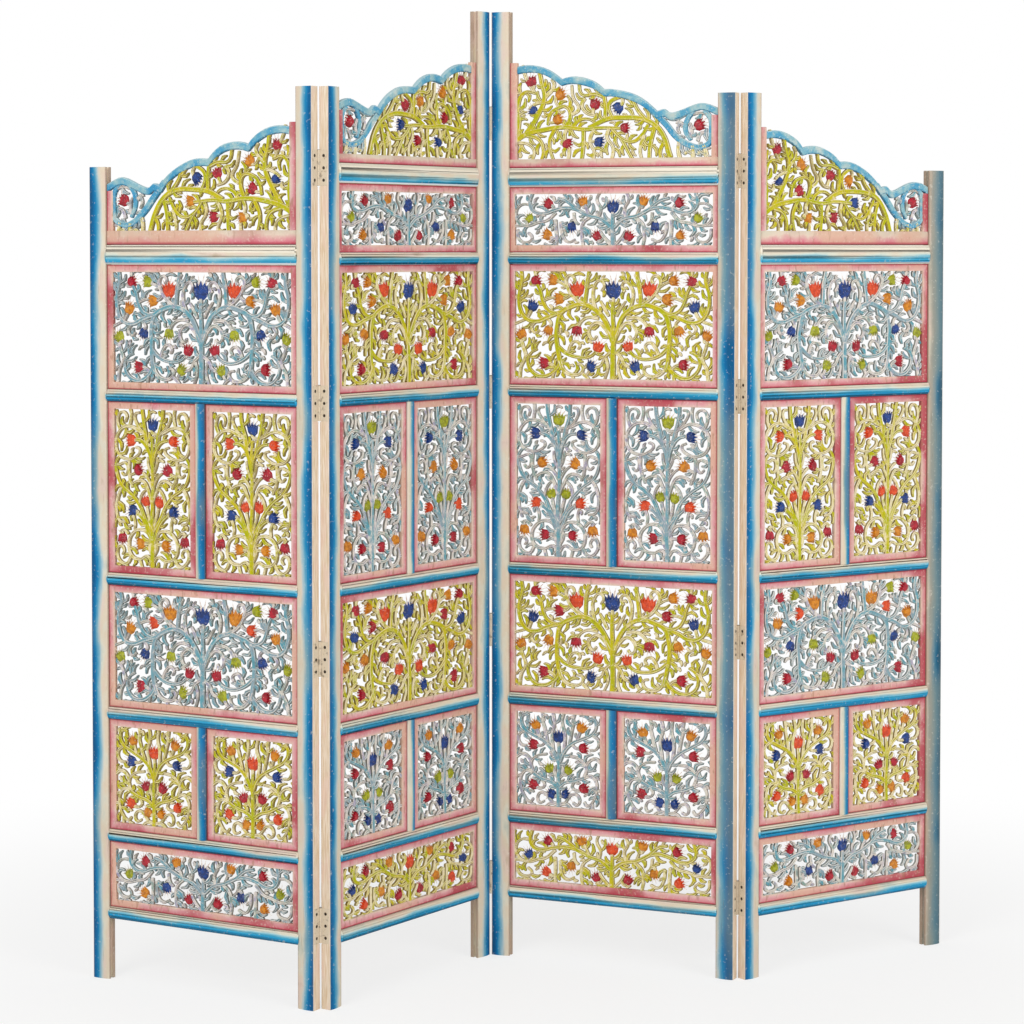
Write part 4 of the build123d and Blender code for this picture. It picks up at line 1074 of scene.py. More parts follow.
# From one edge of a bar to the other, each colour at its share of the way.
BLUE_TO_CREAM = (
    (0.03, "#0B5A8A"),
    (0.17, "#0D6DA6"),
    (0.30, "#2089BA"),
    (0.43, "#74B0C8"),
    (0.55, "#B4CAD0"),
    (0.68, "#DAD8CE"),
    (0.82, "#E2D3BF"),
)
BRIGHT_BLUE_TO_CREAM = (
    (0.03, "#2484B0"),
    (0.16, "#1C98CE"),
    (0.34, "#42ABD0"),
    (0.50, "#98CCD8"),
    (0.62, "#DCE7DC"),
    (0.80, "#F3EAD8"),
)
# A darker, greyer fading, for the post at the right end of the screen.
DARKER_BLUE_TO_CREAM = (
    (0.05, "#2B586F"),
    (0.20, "#1F5F80"),
    (0.36, "#457A92"),
    (0.52, "#7A9199"),
    (0.68, "#9F9F96"),
    (0.85, "#BCAA96"),
)
CREAM_TO_BLUE = (
    (0.10, "#DCD4BE"),
    (0.24, "#BFCABE"),
    (0.36, "#7FAFBC"),
    (0.48, "#3791BA"),
    (0.68, "#1279B2"),
    (0.94, "#0C5F90"),
)
# Lines along a bar: from one share of its width to another, how strong, and the colour.
# a post's dark line along its inner edge is painted shade beside the groove
POST_LINES = ((0.05, 0.015, 0.6, "#EDE8DC"), (0.94, 0.99, 0.6, "#9A7A66"))
# a rail's dark line along its lower edge is a painted shadow
RAIL_LINES = ((0.06, 0.03, 0.6, "#4E4F5D"), (0.95, 0.99, 0.5, "#A08570"))
CROWN_RAIL_LINES = (
    (0.11, 0.09, 0.9, "#DDE3E2"),
    # a painted shadow along the lower edge
    (0.035, 0.02, 0.7, "#9A7275"),
    (0.60, 0.66, 0.95, "#F6EDDB"),
    (0.975, 0.99, 0.5, "#8A7F68"),
)
MUNTIN_LINES = ((0.10, 0.04, 0.5, "#EDE8DC"), (0.95, 0.99, 0.6, "#6B5A48"))
# From the frame to the inner edge of a border or the top of a crown's foot.
BORDER_STOPS = (
    (0.0, "#C45868"),
    (0.26, "#DE9096"),
    (0.60, "#E4A9AD"),
    (0.85, "#E8BFB7"),
    (1.0, "#E6D0BC"),
)
FOOT_STOPS = (
    (0.0, "#DC6F80"),
    (0.26, "#E08E98"),
    (0.48, "#E3B2AC"),
    (0.70, "#E6D2BE"),
    (1.0, "#DDD2BC"),
)

# Of each carving: its paint and second tone, what is rubbed (also its painted highlight) and how
# much of it, its dirt (also its painted shade), and the colour of its cut sides.
CARVING_PAINTS = {
    "green": ("leaf_green_distemper", "#B8B90E", "#CDC01E", "#EFE0AC", 0.10, "#74602A", "#AE9848"),
    "green_rubbed": (
        "rubbed_leaf_green_distemper", "#C2BD34", "#D8C868", "#F4E8C6", 0.28, "#847044", "#BCA86C"
    ),
    "blue": ("slate_blue_distemper", "#64A4B2", "#94AAB4", "#E8E2DA", 0.13, "#5E625E", "#94A09E"),
    "blue_rubbed": (
        "rubbed_slate_blue_distemper", "#90ACA4", "#AEA8C2", "#EEE4D8", 0.26, "#6C665E", "#ACA8A0"
    ),
}
# Of each bud: its paint, and the deeper tone that shows through it in patches.
BUD_PAINTS = {
    "R": ("carmine_bud_paint", "#B5122B", "#8E0A1E"),
    "B": ("ultramarine_bud_paint", "#0F3F8C", "#0B2A62"),
    "V": ("vermilion_bud_paint", "#E5501C", "#C63A12"),
    "Y": ("ochre_bud_paint", "#DC8A10", "#B86C0A"),
    "G": ("lime_bud_paint", "#ADB012", "#868A10"),
}
# Of each metal: its coat, its wear and its bare metal, where the wear starts, metallic, roughness.
HINGE_METALS = {
    "leaf": ("overpainted_steel_leaf", "#DCCDB6", "#C9B89C", "#7C6A55", 0.58, 0.0, 0.5),
    "pin": ("tarnished_steel_pin", "#8A8074", "#B8AC9A", "#4A423A", 0.5, 0.7, 0.42),
    "screw": ("blackened_steel_screw", "#3A322C", "#5E5348", "#1F1B18", 0.55, 0.6, 0.45),
}

materials = {
    "post": frame_paint("milk_paint_on_post", POST_WIDTH, BLUE_TO_CREAM, POST_LINES, grime=0.18),
    "blue_post": frame_paint("blue_milk_paint_on_post", POST_WIDTH, BLUE_TO_CREAM, POST_LINES, reach=0.22),
    "darker_post": frame_paint(
        "darker_milk_paint_on_post",
        POST_WIDTH,
        DARKER_BLUE_TO_CREAM,
        POST_LINES,
        cream=NARROW_CREAM_SPAN,
    ),
    "rail": frame_paint(
        "milk_paint_on_rail",
        RAIL_HEIGHT,
        BRIGHT_BLUE_TO_CREAM,
        RAIL_LINES,
        reach=0.08,
        grime=0.12,
    ),
    "crown_rail": frame_paint(
        "milk_paint_on_crown_rail",
        CROWN_RAIL_HEIGHT,
        BRIGHT_BLUE_TO_CREAM,
        CROWN_RAIL_LINES,
        reach=-0.13,
        grime=0.12,
    ),
    "muntin": frame_paint(
        "milk_paint_on_muntin",
        MUNTIN_WIDTH,
        CREAM_TO_BLUE,
        MUNTIN_LINES,
        cream=LEFT_CREAM_SPAN,
        grime=0.20,
    ),
    "border": border_paint("rose_distemper", BORDER_STOPS, deep_red=0.85, cracks=0.5),
    "foot": border_paint("rose_distemper_on_foot", FOOT_STOPS, deep_red=0.4, cracks=0.3),
    "rim": rim_paint("turquoise_distemper"),
    "petal": petal_paint("whitewash_on_petals"),
}
materials.update({word: carving_paint(*values) for word, values in CARVING_PAINTS.items()})
materials.update({word: bud_paint(*values) for word, values in BUD_PAINTS.items()})
materials.update({word: hinge_metal(*values) for word, values in HINGE_METALS.items()})

# ------------------------------------------------------------------ panes
STEM_STEPS = 4
LEAF_STEPS = 2
LINE_STEPS = 6
SHORTEST_STEP = 0.1  # the points of a line that lie nearer to the next than this are left out
RIBBON_POINTS = (-MM, 0, MM)  # across a stroke, before it is given its own width
RIBBON_EDGE = math.radians(60)
IN_VEIN = 0.95  # the points whose vein value is above this are sunk
THIN_STROKE = 6.5  # strokes cut narrower than this, on the average, are the rubbed ones
SHORT_STALK = 2.0  # a bud's foot this near to a stroke stands on it already
LEAF_SPACING = 2  # leaves are tried at every second point of a stroke
LEAF_BENDS = ((62, 36), (50, 84), (66, 44))  # how a leaf leaves its stroke, and where its tip lies
LEAF_MIDDLE = 0.55  # how far along a leaf its middle point lies
# Lengths that are tried, longest first, and the widths from root to tip.
LEAF_KINDS = (
    ((26.0, 21.0, 17.0, 14.0), (4.8, 7.8, 3.2)),
    ((16.0, 12.0), (4.2, 6.6, 3.0)),
)
# The room that a leaf keeps to the strokes, the other leaves, the buds and their petals.
MIDDLE_CLEARANCE = 5.8
MIDDLE_CLEARANCE_SHARE = 0.5  # of its length, where a leaf is short
TIP_CLEARANCE = 6.6
BUD_CLEARANCE = 12.0
PETAL_REACH = 16.0
PETAL_CLEARANCE = 7.0
WANDER_STEPS = (3.1, 1.7, 0.9)  # how far on in the noise each next carving starts


def ribbon_section():
    """The straight line of three points, 2 mm wide, that is drawn along a stroke."""
    curve = bpy.data.curves.new("section", "CURVE")
    curve.dimensions = "2D"
    curve.fill_mode = "NONE"
    spline = curve.splines.new("POLY")
    spline.points.add(len(RIBBON_POINTS) - 1)
    for point, x in zip(spline.points, RIBBON_POINTS):
        point.co = (x, 0, 0, 1)
    return link("section", curve)


def width_at(widths, share):
    """The width of a stroke a share of the way along it."""
    place = share * (len(widths) - 1)
    number = min(int(place), len(widths) - 2)
    return widths[number] + (widths[number + 1] - widths[number]) * (place - number)


def make_ribbons(name, strokes, section, paint, steps=STEM_STEPS):
    """Carved strokes: bands of the fretwork's thickness, rounded, with a groove down the middle."""
    curve = bpy.data.curves.new(name, "CURVE")
    curve.dimensions = "3D"
    curve.twist_mode = "Z_UP"
    curve.resolution_u = steps
    curve.bevel_mode = "OBJECT"
    curve.bevel_object = section
    for level, widths, points in strokes:
        spline = curve.splines.new("BEZIER")
        spline.bezier_points.add(len(points) - 1)
        for number, (knot, (x, y)) in enumerate(zip(spline.bezier_points, points)):
            knot.co = (x * MM, y * MM, -level * LEVEL_DROP * MM)
            knot.handle_left_type = "AUTO"
            knot.handle_right_type = "AUTO"
            knot.radius = width_at(widths, number / (len(points) - 1)) / 2
    select_only(link(name, curve))
    bpy.ops.object.convert(target="MESH")
    ribbons = bpy.context.object
    vein = ribbons.data.attributes.new("vein", "FLOAT", "POINT")
    for number, item in enumerate(vein.data):
        item.value = 1.0 if number % len(RIBBON_POINTS) == 1 else 0.0
    finish_with(ribbons, "SOLIDIFY", thickness=FRET_THICKNESS * MM, offset=0)
    finish_with(
        ribbons,
        "BEVEL",
        width=FRET_ROUNDING * MM,
        segments=1,
        limit_method="ANGLE",
        angle_limit=RIBBON_EDGE,
        use_clamp_overlap=False,
    )
    shares = [item.value for item in ribbons.data.attributes["vein"].data]
    facing = [vertex.normal.z for vertex in ribbons.data.vertices]
    for vertex, share, z in zip(ribbons.data.vertices, shares, facing):
        if share > IN_VEIN:
            vertex.co.z -= math.copysign(VEIN_DEPTH * MM, z)
    ribbons.data.materials.append(paint)
    return ribbons


def levelled(strokes, place, first=0):
    """Strokes with a level each, their widths as they are cut, and their points in millimetres."""
    done = []
    for level, (widths, *points) in enumerate(strokes, first):
        cut = [STROKE_BASE + STROKE_SHARE * width for width in widths]
        done.append((level, cut, [place(point) for point in points]))
    return done


def bud_direction(turn):
    """The way a bud opens, turned this many degrees to the right of up."""
    return Vector((math.sin(math.radians(turn)), math.cos(math.radians(turn))))


def line_samples(strokes):
    """Points along the middle of every stroke, each with the way the stroke runs there."""
    samples = []
    for _, _, points in strokes:
        line = [Vector(point) for point in smooth_through(points, LINE_STEPS)] + [Vector(points[-1])]
        for before, after in zip(line, line[1:]):
            if (after - before).length > SHORTEST_STEP:
                samples.append((before, (after - before).normalized()))
    return samples


def point_tree(points):
    """The points of a flat drawing, ready to be searched for the nearest one."""
    tree = kdtree.KDTree(len(points))
    for number, point in enumerate(points):
        tree.insert((point[0], point[1], 0), number)
    tree.balance()
    return tree


def clearance(tree, point):
    """How far a point is from the nearest one of the tree."""
    return tree.find((point[0], point[1], 0))[2]


def add_stalks(strokes, buds, place):
    """A stalk from the foot of each bud to the stroke nearest to it."""
    samples = line_samples(strokes)
    tree = point_tree([point for point, _ in samples])
    stalks = []
    for u, v, turn, size in buds:
        centre = Vector(place((u, v)))
        foot = centre - bud_direction(turn) * STALK_LENGTH * size
        nearest = samples[tree.find((foot.x, foot.y, 0))[1]][0]
        is_long = (nearest - foot).length > SHORT_STALK
        points = [nearest, foot, centre] if is_long else [foot, centre]
        stalks.append((len(strokes) + len(stalks), STALK_WIDTHS, [tuple(point) for point in points]))
    return stalks


def grow_leaves(strokes, buds, place, inside, lengths, widths):
    """Pointed leaves beside the strokes, wherever there is room for one between its neighbours."""
    samples = line_samples(strokes)
    lines = point_tree([point for point, _ in samples])
    kept_clear = []
    for u, v, turn, size in buds:
        centre = Vector(place((u, v)))
        kept_clear.append((centre, BUD_CLEARANCE * size))
        kept_clear.append((centre + bud_direction(turn) * PETAL_REACH * size, PETAL_CLEARANCE * size))
    leaves = []
    grown = []
    for count, (root, way) in enumerate(samples[::LEAF_SPACING]):
        for side in (1, -1):
            bends = LEAF_BENDS[(count + (side > 0)) % len(LEAF_BENDS)]
            turns = [Matrix.Rotation(math.radians(side * bend), 2) for bend in bends]
            for length in lengths:
                middle = root + turns[0] @ way * length * LEAF_MIDDLE
                tip = root + turns[1] @ way * length
                has_room = (
                    inside(tip)
                    and clearance(lines, middle) > min(MIDDLE_CLEARANCE, length * MIDDLE_CLEARANCE_SHARE)
                    and clearance(lines, tip) > TIP_CLEARANCE
                    and all((tip - centre).length > radius for centre, radius in kept_clear)
                    and all((middle - centre).length > radius for centre, radius in kept_clear)
                    and all((point - tip).length > TIP_CLEARANCE for point in grown)
                    and all((point - middle).length > MIDDLE_CLEARANCE for point in grown)
                )
                if has_room:
                    grown += [middle, tip, (middle + tip) / 2]
                    level = len(strokes) + len(leaves)
                    leaves.append((level, widths, [tuple(root), tuple(middle), tuple(tip)]))
                    break
    return leaves


def carve(name, strokes, buds, place, inside, section, scroll, already_made=0):
    """The stems in full colour, the fine curls rubbed, and leaves in both, as meshes.

    The first strokes, as many as are already made, only keep the leaves and stalks in their places.
    """
    strokes = strokes + add_stalks(strokes, buds, place)
    leaves = []
    for lengths, widths in LEAF_KINDS:
        leaves.append(grow_leaves(strokes + sum(leaves, []), buds, place, inside, lengths, widths))
    strokes = strokes[already_made:]
    main = [stroke for stroke in strokes if sum(stroke[1]) / len(stroke[1]) >= THIN_STROKE]
    curls = [stroke for stroke in strokes if sum(stroke[1]) / len(stroke[1]) < THIN_STROKE]
    paint, rubbed_paint = materials[scroll], materials[scroll + "_rubbed"]
    groups = (
        ("stems", main, paint, STEM_STEPS),
        ("curls", curls, rubbed_paint, STEM_STEPS),
        ("leaves", leaves[0], paint, LEAF_STEPS),
        ("small_leaves", leaves[1], rubbed_paint, LEAF_STEPS),
    )
    return [
        make_ribbons(f"{name}_{word}", group, section, colour, steps)
        for word, group, colour, steps in groups
        if group
    ]


def set_buds(buds, colours, place, pattern):
    """Buds at their places on a flat pane, each in its own colour."""
    made = []
    for (u, v, turn, size), colour in zip(buds, colours):
        bud = copy_of(pattern, "bud_in_place")
        bud.data.transform(Matrix.Diagonal((BUD_FULLNESS * size, BUD_FULLNESS * size, 1, 1)))
        bud.data.transform(Matrix.Rotation(math.radians(-turn), 4, "Z"))
        x, y = place((u, v))
        shift(bud, x, y)
        bud.data.materials[0] = materials[colour]
        made.append(bud)
    return made


def mirrored(place, width):
    """The same place on the other half of a pane."""
    def other(point):
        x, y = place(point)
        return width - x, y
    return other


def make_border(name, width, height, side):
    """A pane's plain border: a board with its middle cut out, this wide at the two sides."""
    middle = (width / 2 * MM, height / 2 * MM, 0)
    board = made_by(bpy.ops.mesh.primitive_cube_add, size=1, location=middle)
    board.name = name
    board.scale = ((width - 2 * PANE_GAP) * MM, (height - 2 * PANE_GAP) * MM, PANE_THICKNESS * MM)
    select_only(board)
    bpy.ops.object.transform_apply(location=True, scale=True)
    bpy.context.tool_settings.mesh_select_mode = (False, False, True)
    for face in board.data.polygons:
        face.select = abs(face.normal.z) > ALONG
    widening = (width - 2 * side) / (width - 2 * BORDER)
    bpy.ops.object.mode_set(mode="EDIT")
    bpy.ops.mesh.inset(thickness=(BORDER - PANE_GAP) * MM, use_individual=True)
    bpy.ops.transform.resize(value=(widening, 1, 1), center_override=middle)
    bpy.ops.mesh.bridge_edge_loops()
    bpy.ops.object.mode_set(mode="OBJECT")
    round_edges(board, EDGE_ROUNDING)
    keep_inwards(board, lambda x, y: min(x / side, (width - x) / side, y / BORDER, (height - y) / BORDER))
    board.data.materials.append(materials["border"])
    return board


def make_pane(name, width, height, side, design, colours, scroll, tools):
    """A carved pane, lying flat with its lower left corner at the origin."""
    trunk, strokes, buds = design
    section, bud_pattern = tools

    def place(point):
        return side + point[0] * (width - 2 * side), BORDER + (1 - point[1]) * (height - 2 * BORDER)

    def inside(point):
        return side < point[0] < width - side and BORDER < point[1] < height - BORDER

    drawn = levelled(trunk + strokes, place)
    drawn += levelled(strokes, mirrored(place, width), len(drawn))
    all_buds = list(buds) + [(1 - u, v, -turn, size) for u, v, turn, size in buds[1:]]
    parts = [make_border(name, width, height, side)]
    parts += carve(name, drawn, all_buds, place, inside, section, scroll)
    parts += set_buds(all_buds, colours + colours[1:], place, bud_pattern)
    pane = join(parts)
    keep_facing(pane)
    smooth(pane)
    return pane


def wander(piece, width, height, number):
    """Let carved lines stray a little, differently on each pane, and hold the borders still."""
    edge = BORDER * MM
    fade = WANDER_FADE * MM
    start = Vector([number * step for step in WANDER_STEPS])
    for vertex in piece.data.vertices:
        x, y = vertex.co.x, vertex.co.y
        inside = min(x - edge, width * MM - edge - x, y - edge, height * MM - edge - y)
        if inside > 0:
            stray = noise.noise_vector(Vector((x, y, 0)) * per_metre(WANDER_LENGTH) + start)
            most = min(1, inside / fade) * CARVING_WANDER * MM
            vertex.co.x += stray.x * most
            vertex.co.y += stray.y * most


# ------------------------------------------------------------------ crowns
EDGE_STEPS = 5
LOBE_STEPS = 9
LEAF_SETBACK = 2.0  # how far below the rim the leaves stay
VOLUTE_END = 0.62  # where under the rim the volute's own field ends, as a share of the tall side
VOLUTE_LEAN = -0.35  # and how that end leans, sideways for each step down
VOLUTE_FIELD = 0.2  # the share of the opening that the volute's own leaves fill


def crown_edge(sizes, left, right, drop):
    """The scalloped top edge between two places along the opening, lowered by drop."""
    def place(point):
        share, rise = point
        return left + share * (right - left), sizes["dip"] + rise * (sizes["tall"] - sizes["dip"]) - drop

    line = smooth_through([place(point) for point in VOLUTE_EDGE], EDGE_STEPS)
    for lobe in LOBES:
        line += arc_through(*[place(point) for point in lobe], LOBE_STEPS)
    return line + [place(LOBES[-1][-1])]


def crown_board(name, x_span, y_span, thickness, inwards, paint):
    """A plain board of a crown, with how far in from the frame its points are."""
    board = prism(name, rectangle(x_span, y_span), -thickness / 2, thickness / 2)
    round_edges(board, EDGE_ROUNDING)
    keep_inwards(board, inwards)
    board.data.materials.append(materials[paint])
    return board


def from_side(x, _):
    """How far in from the nearer side of the opening a point is, as a share of the border."""
    return min(x, OPENING_WIDTH - x) / BORDER


def make_crown_frame(name, sizes):
    """The foot, the side boards and the rim of a crown, and the line along the rim's lower edge."""
    left, right = PANE_GAP, OPENING_WIDTH - PANE_GAP
    foot_top = sizes["foot"]
    side_low = foot_top - BOARD_LAP
    top = crown_edge(sizes, left, right, 0)
    under = crown_edge(sizes, left, right, CROWN_RIM)
    rim = prism(name + "_rim", top + under[::-1], -RIM_THICKNESS / 2, RIM_THICKNESS / 2)
    round_edges(rim, RIM_ROUNDING)
    rim.data.materials.append(materials["rim"])
    foot_span = (PANE_GAP, foot_top)
    foot = crown_board(name, (left, right), foot_span, PANE_THICKNESS, lambda _, y: y / foot_top, "foot")
    parts = [foot]
    for word, x_span, side_top in (
        ("low_side", (left, BORDER), under[0][1] + BOARD_LAP),
        ("tall_side", (OPENING_WIDTH - TALL_SIDE, right), sizes["tall"]),
    ):
        y_span = (side_low, side_top)
        parts.append(crown_board(word, x_span, y_span, SIDE_BOARD_THICKNESS, from_side, "border"))
    return parts + [rim], under


def make_crown(name, sizes, colours, tools):
    """A carved crown, lying flat with its volute at X = 0 and its tall side at the far end."""
    section, bud_pattern = tools
    parts, under = make_crown_frame(name, sizes)
    foot_top = sizes["foot"]

    def place(point):
        return point[0] * OPENING_WIDTH, point[1] * sizes["tall"]

    def inside(point):
        x, y = point
        if not BORDER < x < OPENING_WIDTH - TALL_SIDE or y < foot_top:
            return False
        roof = min(under, key=lambda corner: abs(corner[0] - x))[1]
        past_volute = x > sizes["tall"] * VOLUTE_END + (roof - y) * VOLUTE_LEAN
        return y < roof - LEAF_SETBACK and past_volute

    def by_volute(point):
        x, y = point
        return BORDER < x < OPENING_WIDTH * VOLUTE_FIELD and foot_top < y < under[0][1] - LEAF_SETBACK

    parts += carve(name, levelled(CROWN_STROKES, place), CROWN_BUDS[1:], place, inside, section, "green")
    volute = levelled(VOLUTE_STROKES, place)
    parts.append(make_ribbons(name + "_volute", volute, section, materials["rim"]))
    filling = volute + levelled(VOLUTE_FILLING, place, len(volute))
    parts += carve(name + "_v", filling, CROWN_BUDS[:1], place, by_volute, section, "blue", len(volute))
    roots = levelled(VOLUTE_ROOTS, place, len(filling))
    parts.append(make_ribbons(name + "_roots", roots, section, materials["green_rubbed"]))
    parts += set_buds(CROWN_BUDS, colours, place, bud_pattern)
    crown = join(parts)
    keep_facing(crown)
    smooth(crown)
    return crown


# ------------------------------------------------------------------ putting the panels together
STAND_UP = Matrix.Translation((0, PANE_MIDDLE * MM, 0)) @ Matrix.Rotation(math.radians(90), 4, "X")
LIE_DOWN = Matrix.Rotation(math.radians(-90), 4, "Y")
# Every bar and every carving has a number of its own, so that no two are marked alike. These are the
# first numbers of the rails, the muntins and each panel's crown, and how many a panel has to itself.
POSTS_A_PANEL = 2
FIRST_RAIL = 20
FIRST_MUNTIN = 60
BARS_A_PANEL = 8
CARVINGS_A_PANEL = 20
CROWN_CARVING = 15


def put(piece, name, number, node):
    """Hand a finished piece, in its panel's own axes, to its place in the screen."""
    piece.data.transform(panel_matrix(number))
    piece.name = name
    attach(piece, f"panel_{number}")
    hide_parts(node)


def rail_bottoms(rows):
    """The height of the lower edge of each rail, and last of the crown rail."""
    heights = [LEG_HEIGHT]
    for _, opening in rows:
        heights.append(heights[-1] + RAIL_HEIGHT + opening)
    return heights


def fit_posts(number, kinds, bars):
    """Both posts of a panel; the right one is the other hand."""
    for side, kind in zip(("left", "right"), kinds):
        node = f"panel_{number}_{side}_post"
        post = copy_of(bars[kind], "post")
        keep_place(post, number * POSTS_A_PANEL + (side == "right"))
        post.data.materials[0] = materials[POST_PAINTS.get(node, "post")]
        if side == "right":
            other_hand(post, PANEL_WIDTH)
        put(post, node + "_made", number, node)


def fit_rails(number, rows, bars):
    """All rails of a panel, from the bottom one to the crown rail, as one piece."""
    kinds = ["bottom_rail"] + ["rail"] * (len(rows) - 1) + ["crown_rail"]
    rails = []
    for count, (kind, bottom) in enumerate(zip(kinds, rail_bottoms(rows))):
        rail = copy_of(bars[kind], "rail")
        keep_place(rail, FIRST_RAIL + number * BARS_A_PANEL + count)
        rail.data.transform(LIE_DOWN)
        shift(rail, x=POST_WIDTH + OPENING_WIDTH, z=bottom)
        rails.append(rail)
    put(join(rails), f"panel_{number}_rails_made", number, f"panel_{number}_rails")


def fit_muntins(number, rows, bars):
    """The muntins of a panel's two rows of paired panes, as one piece."""
    muntins = []
    for count, ((name, _), bottom) in enumerate(zip(rows, rail_bottoms(rows))):
        if name.endswith("pair"):
            muntin = copy_of(bars[name], "muntin")
            keep_place(muntin, FIRST_MUNTIN + number * BARS_A_PANEL + count)
            shift(muntin, x=(PANEL_WIDTH - MUNTIN_WIDTH) / 2, z=bottom + RAIL_HEIGHT)
            muntins.append(muntin)
    put(join(muntins), f"panel_{number}_muntins_made", number, f"panel_{number}_muntins")


def carve_patterns(kind, rows, tools):
    """One pane of each row of a kind of panel, lying flat, to be copied."""
    patterns = {}
    for name, opening in rows:
        is_half = name.endswith("pair")
        width = HALF_OPENING_WIDTH if is_half else OPENING_WIDTH
        side = BORDER if is_half else SIDE_BORDERS[kind]
        colours = BUD_COLOURS[name][kind]
        scroll = SCROLL_COLOURS[kind][name]
        pane = make_pane(f"{kind}_{name}", width, opening, side, DESIGNS[name], colours, scroll, tools)
        patterns[name] = (pane, width, opening)
    return patterns


def fit_panes(number, rows, patterns):
    """The panes of a panel, each row's own piece."""
    right_start = POST_WIDTH + HALF_OPENING_WIDTH + MUNTIN_WIDTH
    for count, ((name, _), bottom) in enumerate(zip(rows, rail_bottoms(rows))):
        pattern, width, height = patterns[name]
        starts = (POST_WIDTH, right_start) if name.endswith("pair") else (POST_WIDTH,)
        panes = []
        for half, start in enumerate(starts):
            pane = copy_of(pattern, "pane")
            wander(pane, width, height, number * CARVINGS_A_PANEL + count * 2 + half)
            pane.data.transform(STAND_UP)
            shift(pane, x=start, z=bottom + RAIL_HEIGHT)
            panes.append(pane)
        node = f"panel_{number}_pane_{name}"
        put(join(panes), node + "_carved", number, node)


def fit_crown(number, rows, crown, sizes):
    """Stand a crown on its rail, its tall side towards the middle of the screen."""
    wander(crown, OPENING_WIDTH, sizes["tall"], number * CARVINGS_A_PANEL + CROWN_CARVING)
    if number in RIGHT_PANELS:
        other_hand(crown, OPENING_WIDTH)
    crown.data.transform(STAND_UP)
    shift(crown, x=POST_WIDTH, z=rail_bottoms(rows)[-1] + CROWN_RAIL_HEIGHT)
    node = f"panel_{number}_crown"
    put(crown, node + "_carved", number, node)


def fit_hinges():
    """The hinges stay as they were made; each metal gets its finish."""
    finishes = (("leaves", "leaf"), ("pins", "pin"), ("screws", "screw"))
    for name, node in frame["nodes"].items():
        for word, finish in finishes:
            if word in name.split("_"):
                node.data.materials.clear()
                node.data.materials.append(materials[finish])


def build_screen():
    """All four panels, the outer pair first."""
    tools = (ribbon_section(), make_bud())
    bars = make_bars()
    kinds = (
        ("outer", (1, 4), OUTER_ROWS, OUTER_CROWN),
        ("inner", (2, 3), INNER_ROWS, INNER_CROWN),
    )
    for kind, numbers, rows, crown_sizes in kinds:
        patterns = carve_patterns(kind, rows, tools)
        for number in numbers:
            fit_posts(number, POST_KINDS[number], bars)
            fit_rails(number, rows, bars)
            fit_muntins(number, rows, bars)
            fit_panes(number, rows, patterns)
            crown = make_crown(f"{kind}_crown", crown_sizes, CROWN_COLOURS[number], tools)
            fit_crown(number, rows, crown, crown_sizes)
        remove(*[pane for pane, _, _ in patterns.values()])
    remove(*tools, *bars.values())
    fit_hinges()


# ------------------------------------------------------------------ studio, in metres and degrees
FLOOR_SIZE = 60
FLOOR_SQUARES = 8
SHADOW_FADES = (0.6, 2.2)  # from the middle of the screen
WHITE_BY_SCREEN = 0.72  # how white the floor shows at the screen, where it keeps the shadow
WORLD_LIGHT = 0.52
LAMPS = {
    "key_lamp": {"place": (-2.6, -4.2, 3.4), "power": 95},
    "fill_lamp": {"place": (3.2, -3.6, 2.4), "power": 75},
}
LAMP_TARGET = (0, 0, 0.9)
LAMP_SIZE = 2.4
CAMERA_PLACE = (-0.05533, -5.32894, 1.37818)
CAMERA_TILT = 87.789
CAMERA_TURN = -0.286
CAMERA_LENS = 99.75
CAMERA_SENSOR = 36
CAMERA_SHIFT = -0.1516


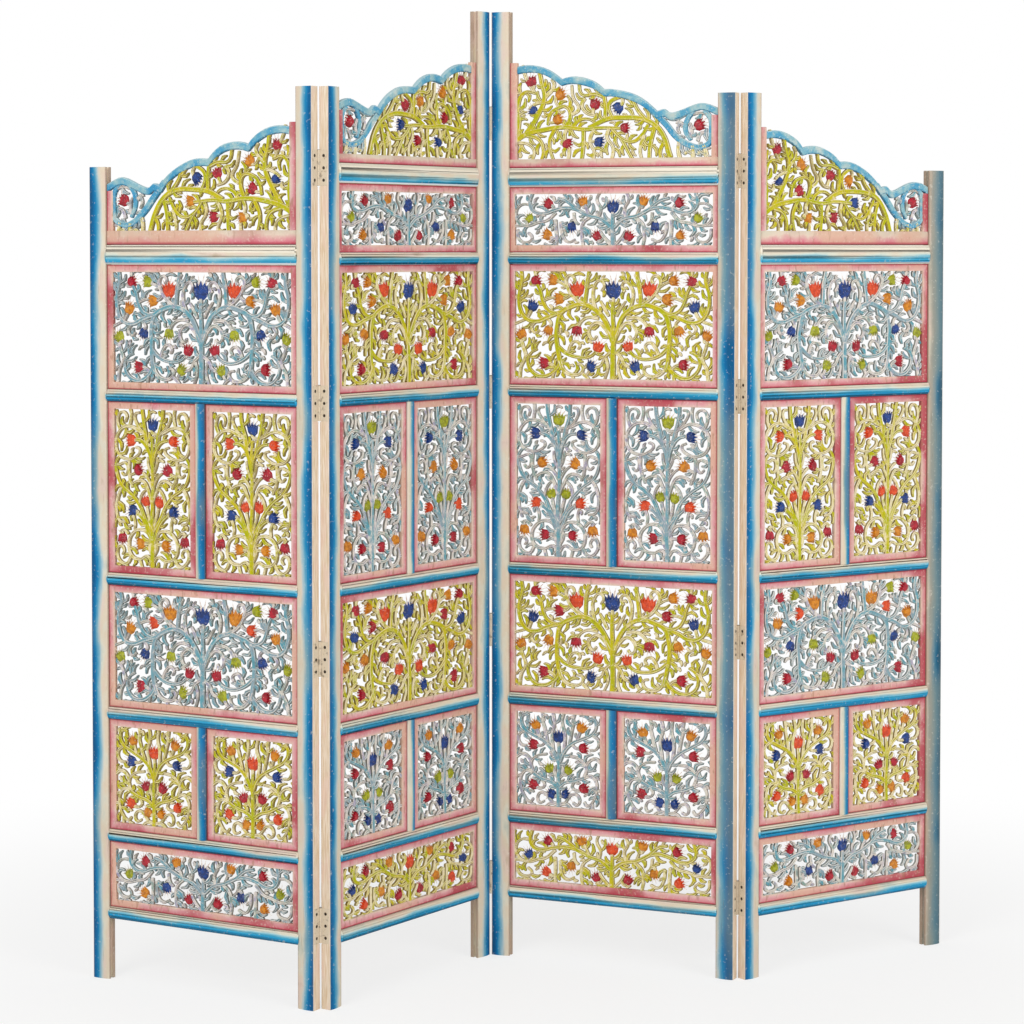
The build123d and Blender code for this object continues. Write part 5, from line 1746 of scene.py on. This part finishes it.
def make_floor():
    """A pale floor that shows white to the camera and keeps the screen's soft shadow near it."""
    floor = made_by(
        bpy.ops.mesh.primitive_grid_add,
        x_subdivisions=FLOOR_SQUARES,
        y_subdivisions=FLOOR_SQUARES,
        size=FLOOR_SIZE,
    )
    floor.name = "floor"
    material, tree, shader = new_material("pale_studio_floor")
    connect(tree, shader, {"Base Color": "#F4F4F2", "Roughness": 0.9})
    place = add(tree, "ShaderNodeTexCoord", output="Object")
    distance = add(tree, "ShaderNodeVectorMath", [place], output="Value", operation="LENGTH")
    run = [distance, *SHADOW_FADES, WHITE_BY_SCREEN, 1.0]
    far = add(tree, "ShaderNodeMapRange", run, interpolation_type="SMOOTHSTEP")
    by_camera = add(tree, "ShaderNodeLightPath", output="Is Camera Ray")
    by_gloss = add(tree, "ShaderNodeLightPath", output="Is Glossy Ray")
    seen = add(tree, "ShaderNodeMath", [by_camera, by_gloss], operation="MAXIMUM")
    share = add(tree, "ShaderNodeMath", [seen, far], operation="MULTIPLY")
    white = add(tree, "ShaderNodeEmission", {"Color": "#FFFFFF", "Strength": 1.0})
    mixed = add(tree, "ShaderNodeMixShader", [share, shader.outputs[0], white])
    connect(tree, tree.nodes["Material Output"], {"Surface": mixed})
    floor.data.materials.append(material)


def make_world():
    """White where the camera sees it, and a plain soft light on the screen."""
    world = bpy.data.worlds.new("studio")
    bpy.context.scene.world = world
    world.use_nodes = True
    tree = world.node_tree
    by_camera = add(tree, "ShaderNodeLightPath", output="Is Camera Ray")
    by_gloss = add(tree, "ShaderNodeLightPath", output="Is Glossy Ray")
    seen = add(tree, "ShaderNodeMath", [by_camera, by_gloss], operation="MAXIMUM")
    strength = add(tree, "ShaderNodeMapRange", [seen, 0.0, 1.0, WORLD_LIGHT, 1.0])
    connect(tree, tree.nodes["Background"], {"Color": "#FFFFFF", "Strength": strength})


def make_lamp(name, place, power):
    """A square soft box that looks at the middle of the screen."""
    lamp = made_by(bpy.ops.object.light_add, type="AREA", location=place)
    lamp.name = name
    lamp.data.shape = "SQUARE"
    lamp.data.size = LAMP_SIZE
    lamp.data.energy = power
    lamp.rotation_euler = (Vector(LAMP_TARGET) - Vector(place)).to_track_quat("-Z", "Y").to_euler()


def make_camera():
    """A camera before the middle of the screen, a little above its half height."""
    rotation = (math.radians(CAMERA_TILT), 0, math.radians(CAMERA_TURN))
    camera = made_by(bpy.ops.object.camera_add, location=CAMERA_PLACE, rotation=rotation)
    camera.data.sensor_width = CAMERA_SENSOR
    camera.data.lens = CAMERA_LENS
    camera.data.shift_y = CAMERA_SHIFT
    bpy.context.scene.camera = camera


bpy.context.scene.view_settings.view_transform = "Standard"
noise.seed_set(WANDER_SEED)
make_camera()
make_floor()
make_world()
for lamp_name, settings in LAMPS.items():
    make_lamp(lamp_name, **settings)
build_screen()
